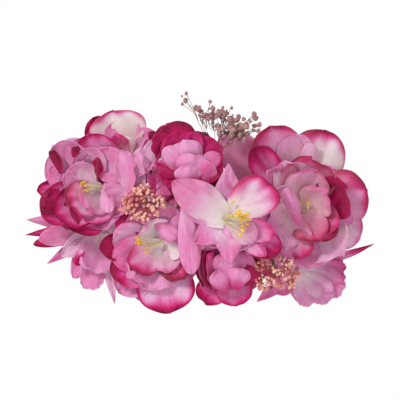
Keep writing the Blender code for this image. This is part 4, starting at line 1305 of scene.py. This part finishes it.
@dataclass(frozen=True)
class RiceSpray:
    """A dome of dried rice-flower buds on a taped stem."""

    name: str
    centre: tuple[float, float, float]
    size: tuple[float, float, float]  # half sizes: right, up and out
    seed: int
    twig: tuple[float, float, float] | None = None  # the end of a bare twig, from the middle

    def build(self, tools: Tools, palette: Palette) -> None:
        """Makes the buds and the stem."""
        node = f"{self.name}_heads"
        shape = bmesh.new()
        bmesh.ops.create_icosphere(shape, subdivisions=4, radius=1)
        middle = place(*self.centre)
        for v in shape.verts:
            lump = 1 + 0.16 * sin(v.co.x * 5 + self.seed) * cos(v.co.z * 4) + 0.12 * sin(v.co.x * 9 + v.co.z * 7)
            spot = place(v.co.x * self.size[0], v.co.z * self.size[1], -v.co.y * self.size[2])
            v.co = Vector(middle + spot * lump)
        base = show(f"{node}_buds", cast(node, shape))
        piece = tools.rice.use(base, Seed=self.seed, Petals=palette.bud, Wood=palette.stalk)
        settle(piece, "crown", "rice_flower", node)
        extra = (loose_end(self.name, middle, middle + place(*self.twig), palette),) if self.twig else ()
        stem_to(self.name, middle, tools, palette, extra)


def loose_end(name: str, root: np.ndarray, tip: np.ndarray, palette: Palette) -> bpy.types.Object:
    """A bare twig that sticks out of a spray, with a round drop of glue on its end."""
    shape = bmesh.new()
    along = Vector(tip - root)
    bmesh.ops.create_cone(
        shape, cap_ends=True, segments=10, radius1=0.0009, radius2=0.0007, depth=along.length,
        matrix=Matrix.Translation(Vector((root + tip) / 2)) @ facing_along(along),
    )
    bmesh.ops.create_icosphere(shape, subdivisions=2, radius=0.0014, matrix=Matrix.Translation(Vector(tip)))
    mesh = cast(f"{name}_loose_end", shape)
    mesh.shade_smooth()
    return show(mesh.name, mesh, palette.twig)


def stem_to(
    name: str, end: np.ndarray, tools: Tools, palette: Palette, extra: tuple[bpy.types.Object, ...] = (),
) -> None:
    """A taped stem from the band, under the CAD stem's foot, to the middle of a spray."""
    node = f"{name}_stem"
    up = 1 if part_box(node)[0][2] > 0 else -1
    root, outward = stem_foot(node, up)
    knee = root + outward * 0.012 + np.array((0, 0, up * 0.008))
    t = np.linspace(0, 1, STEM_KNOTS)[:, None]
    line = (1 - t) ** 2 * root + 2 * (1 - t) * t * knee + t**2 * end
    piece = taped(f"{node}_taped", line.tolist(), tools, palette.tape, 1.2, 5)
    if extra:
        piece = join(f"{node}_wound", piece, *extra)
    settle(piece, "crown", "stem", node)


@dataclass(frozen=True)
class GypsophilaSpray:
    """A branching spray of dried florets.

    Its limbs are given by their ends, and each one forks by rule into twigs that end in florets.
    """

    name: str = "gypsophila"
    root: tuple[float, float, float] = (12.0, 40.0, 14.0)
    limbs: tuple = (
        ((-1, 66, 22), (-9, 81, 22), 4),
        ((2, 64, 24), (-1, 76, 23), 4),
        ((5, 61, 24), (5, 75, 26), 6),
        ((12, 59, 26), (10, 69, 28), 8),
        ((16, 57, 30), (18, 72, 32), 10),
        ((18, 52, 32), (20, 58, 34), 12),
        ((21, 55, 32), (27, 67, 34), 11),
        ((24, 52, 32), (32, 60, 36), 11),
        ((22, 48, 34), (26, 52, 38), 6),
        ((27, 53, 32), (37, 65, 34), 7),
        ((30, 51, 32), (44, 63, 34), 5),
    )
    seed: int = 21

    def build(self, tools: Tools, palette: Palette) -> None:
        """Makes the spray and its stem."""
        chance = np.random.default_rng(self.seed)
        shape = bmesh.new()
        layer = shape.verts.layers.float.new("floret")
        root = shape.verts.new(place(*self.root))
        for fork, end, count in self.limbs:
            knot = shape.verts.new(place(*fork))
            shape.edges.new((root, knot))
            for i in range(count):
                middle = np.array(fork) * 0.5 + np.array(end) * 0.5 + chance.normal(0, (2.2, 2.0, 2.0))
                tip = np.array(end) + chance.normal(0, (4.4, 3.8, 4.0))
                bend = shape.verts.new(place(*middle))
                shape.edges.new((knot, bend))
                for _ in range(2 if i % 2 else 1):
                    last = shape.verts.new(place(*(tip + chance.normal(0, 2.2, 3))))
                    last[layer] = chance.uniform(0.5, 1.4)
                    shape.edges.new((bend, last))
        base = show(f"{self.name}_heads_spray", cast(self.name, shape))
        piece = tools.twigs.use(base, Seed=self.seed, Bark=palette.twig, Bloom=palette.floret)
        settle(piece, "crown", "gypsophila", f"{self.name}_heads")
        stem_to(self.name, place(*self.root), tools, palette)


# ---- the band and its clips ------------------------------------------------------------------


@dataclass(frozen=True)
class Band:
    """The curved band: felt, buckram, and a wire wound in tape."""

    radius: float = 84.0
    height: float = 28.0
    sweep: float = 136.0  # degrees round the head
    rod_radius: float = 89.2

    def arc(self, radius: float, up: float, count: int = 90, margin: float = 0.0) -> list:
        """Points round the band at one height, in metres."""
        half = radians(self.sweep / 2 - margin)
        turns = np.linspace(-half, half, count)
        return [(radius * MM * sin(a), self.radius * MM - radius * MM * cos(a), up * MM) for a in turns]

    def build(self, tools: Tools, palette: Palette) -> None:
        """Dresses the strips and makes the tape and the stitches."""
        dress("felt_lining", palette.felt)
        dress("buckram_strip", palette.buckram)
        dress("wire_rod", palette.steel)
        tape = taped("rod_tape_wound", self.arc(self.rod_radius, 0, 120), tools, palette.tape, 2.1, 7, 1)
        settle(tape, "crown", "tape", "rod_tape")
        for label, up in (("upper", self.height / 2 - 2), ("lower", 2 - self.height / 2)):
            for side, radius in (("felt", self.radius - 0.05), ("buckram", self.radius + 3.3)):
                row = path_curve(f"{label}_{side}_stitches", self.arc(radius, up, 200, 2))
                piece = tools.stitches.use(row, Thread=palette.thread)
                settle(piece, "crown", "felt")


def dress(node: str, finish: bpy.types.Material) -> None:
    """Gives a CAD node another material."""
    coat(frame["nodes"][node].data, finish)
    LOG.info("%s: dressed with %s", node, finish.name)


@dataclass(frozen=True)
class HairClip:
    """A sprung hair clip: plated jaws and pin, and a torsion spring."""

    side: str
    wire: float = 0.32  # mm, the wire's radius
    coil: float = 1.55  # mm, to the middle of the wire
    turns: float = 3.5
    leg: float = 10.0  # mm
    gap: float = 0.25  # mm between two turns
    flare: float = 24.0  # degrees that a leg leans off the jaw's plane
    knee: tuple[float, float] = (2.5, 1.75)  # mm above the pin, and out from it
    lap: float = 1.2  # mm in from the pin

    def build(self, palette: Palette) -> None:
        """Dresses the jaws and pin and makes the spring."""
        for part in ("fixed_jaw", "moving_jaw", "pin"):
            dress(f"{self.side}_clip_{part}", palette.steel)
        joint = next(j for j in frame["joints"] if j["name"] == f"{self.side}_clip_hinge")
        pin = Vector(joint["pos_m"])
        wide = Vector(joint["axis"]).normalized()
        upward = Vector((0, 0, 1))
        inward = -wide.cross(upward)
        if inward.y < 0:
            inward = -inward
        path = []
        pitch = 2 * self.wire + self.gap
        total = self.turns * tau
        steps = int(self.turns * 20)
        for i in range(steps + 1):
            a = -pi / 2 + total * i / steps
            across = pitch * (a + pi / 2) / tau - pitch * self.turns / 2
            path.append(pin + (upward * cos(a) * self.coil + inward * sin(a) * self.coil + wide * across) * MM)
        flare = radians(self.flare)
        knees = []
        for end, sign in ((path[0], -1), (path[-1], 1)):
            level = (end - pin).dot(wide)
            knee = pin + upward * self.knee[0] * MM + inward * sign * self.knee[1] * MM + wide * level
            tip = knee + (upward * cos(flare) + inward * sign * sin(flare)) * self.leg * MM
            knees.append((knee, tip))
        line = [*reversed(knees[0]), *path, *knees[1]]
        spring = path_curve(f"{self.side}_clip_spring_coil", [tuple(p) for p in line])
        spring.data.bevel_depth = self.wire * MM
        spring.data.bevel_resolution = 2
        spring.data.use_fill_caps = True
        piece = applied(spring)
        shape = bmesh.new()
        shape.from_mesh(piece.data)
        bmesh.ops.remove_doubles(shape, verts=shape.verts, dist=1e-6)
        shape.to_mesh(piece.data)
        shape.free()
        coat(piece.data, palette.wire)
        piece.data.shade_smooth()
        end = pin + inward * self.lap * MM
        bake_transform(piece)
        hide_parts(f"{self.side}_clip_spring")
        LOG.info("%s: made", piece.name)


# ---- the studio ------------------------------------------------------------------------------


@dataclass(frozen=True)
class Studio:
    """A pale floor, soft lights and a long-lens camera in front of the crown."""

    distance: float = 2.0
    frame_width: float = 0.320  # across the picture, at the flowers
    ambient: float = 0.55
    floor: float = -0.30
    aim: tuple[float, float, float] = (0.0, -0.03, 0.004)

    def build(self) -> None:
        """Sets everything up."""
        shape = bmesh.new()
        bmesh.ops.create_grid(shape, x_segments=2, y_segments=2, size=1.0)
        bmesh.ops.translate(shape, vec=(0, 0, self.floor), verts=shape.verts)
        mesh = cast("floor", shape)
        paper, wire, inputs = shader("white_paper", 0.9)
        mottle = wire.mix(wire.noise(wire.here(), 300), linear(250, 250, 250), linear(254, 254, 254))
        wire.link(mottle, inputs["Base Color"])
        show("floor", mesh, paper)

        world = bpy.data.worlds.new("studio")
        world.use_nodes = True
        sky = Wiring(world.node_tree)
        seen = sky.add("ShaderNodeLightPath").outputs["Is Camera Ray"]
        behind = world.node_tree.nodes["Background"]
        sky.link(sky.mix(seen, (1, 0.80, 0.90, 1), (1, 1, 1, 1)), behind.inputs[0])
        sky.link(sky.span(seen, 0, 1, self.ambient, 1), behind.inputs[1])
        bpy.context.scene.world = world
        self.lamp("key", (-1.1, -1.4, 1.0), 0.4, 19)
        self.lamp("fill", (0.9, -1.8, -0.6), 1.0, 9)

        lens = bpy.data.cameras.new("camera")
        lens.sensor_width = 36
        lens.lens = 36 * self.distance / self.frame_width
        lens.clip_start, lens.clip_end = 0.05, 50
        camera = put("camera", lens)
        camera.location = (self.aim[0], self.aim[1] - self.distance, self.aim[2])
        camera.rotation_euler = (pi / 2, 0, 0)
        bpy.context.scene.camera = camera
        bpy.context.scene.view_settings.view_transform = "Standard"

    @staticmethod
    def lamp(name: str, spot: tuple, size: float, watts: float) -> None:
        """A soft square light aimed at the crown."""
        data = bpy.data.lights.new(name, "AREA")
        data.size = size
        data.energy = watts
        lamp = put(name, data)
        lamp.location = spot
        lamp.rotation_euler = (-Vector(spot)).to_track_quat("-Z", "Y").to_euler()


STAMENS = (
    StamenTuft("left_peony", (-79, 14, 14), (-15, 0.5, 5), 16, 16, 18, 0.5, 2.4, seed=4),
    StamenTuft("centre_lily", (18, -11, 46), (10, 3, 8), 20, 20, 50, 0.6, 4.0, seed=6),
    StamenTuft("right_magnolia", (86, -8, 12), (-2, 4, 8), 8, 9, 40, 0.4, 1.8, seed=8),
    StamenTuft("lower_left_peony", (-30, -29, 28), (-15, -4, 7), 20, 21, 22, 0.55, 2.6, seed=11),
)


def main() -> None:
    """Builds the crown and the studio round it."""
    logging.basicConfig(level=logging.INFO, format="%(message)s")
    palette = Palette()
    tools = Tools()
    Studio().build()
    for blossom in BLOSSOMS:
        blossom.build(palette)
        TapedStem(blossom.name, blossom.heart, blossom.axis).build(tools, palette)
    for tuft in STAMENS:
        tuft.build(tools, palette)
    RiceSpray("left_rice_flower", (-45, 1, 38), (18, 15, 9), 5, (26, -1.5, 5)).build(tools, palette)
    RiceSpray("right_rice_flower", (61, -55, 32), (19, 14, 9), 8).build(tools, palette)
    GypsophilaSpray().build(tools, palette)
    Band().build(tools, palette)
    for side in ("left", "right"):
        HairClip(side).build(palette)


if __name__ == "__main__":
    main()
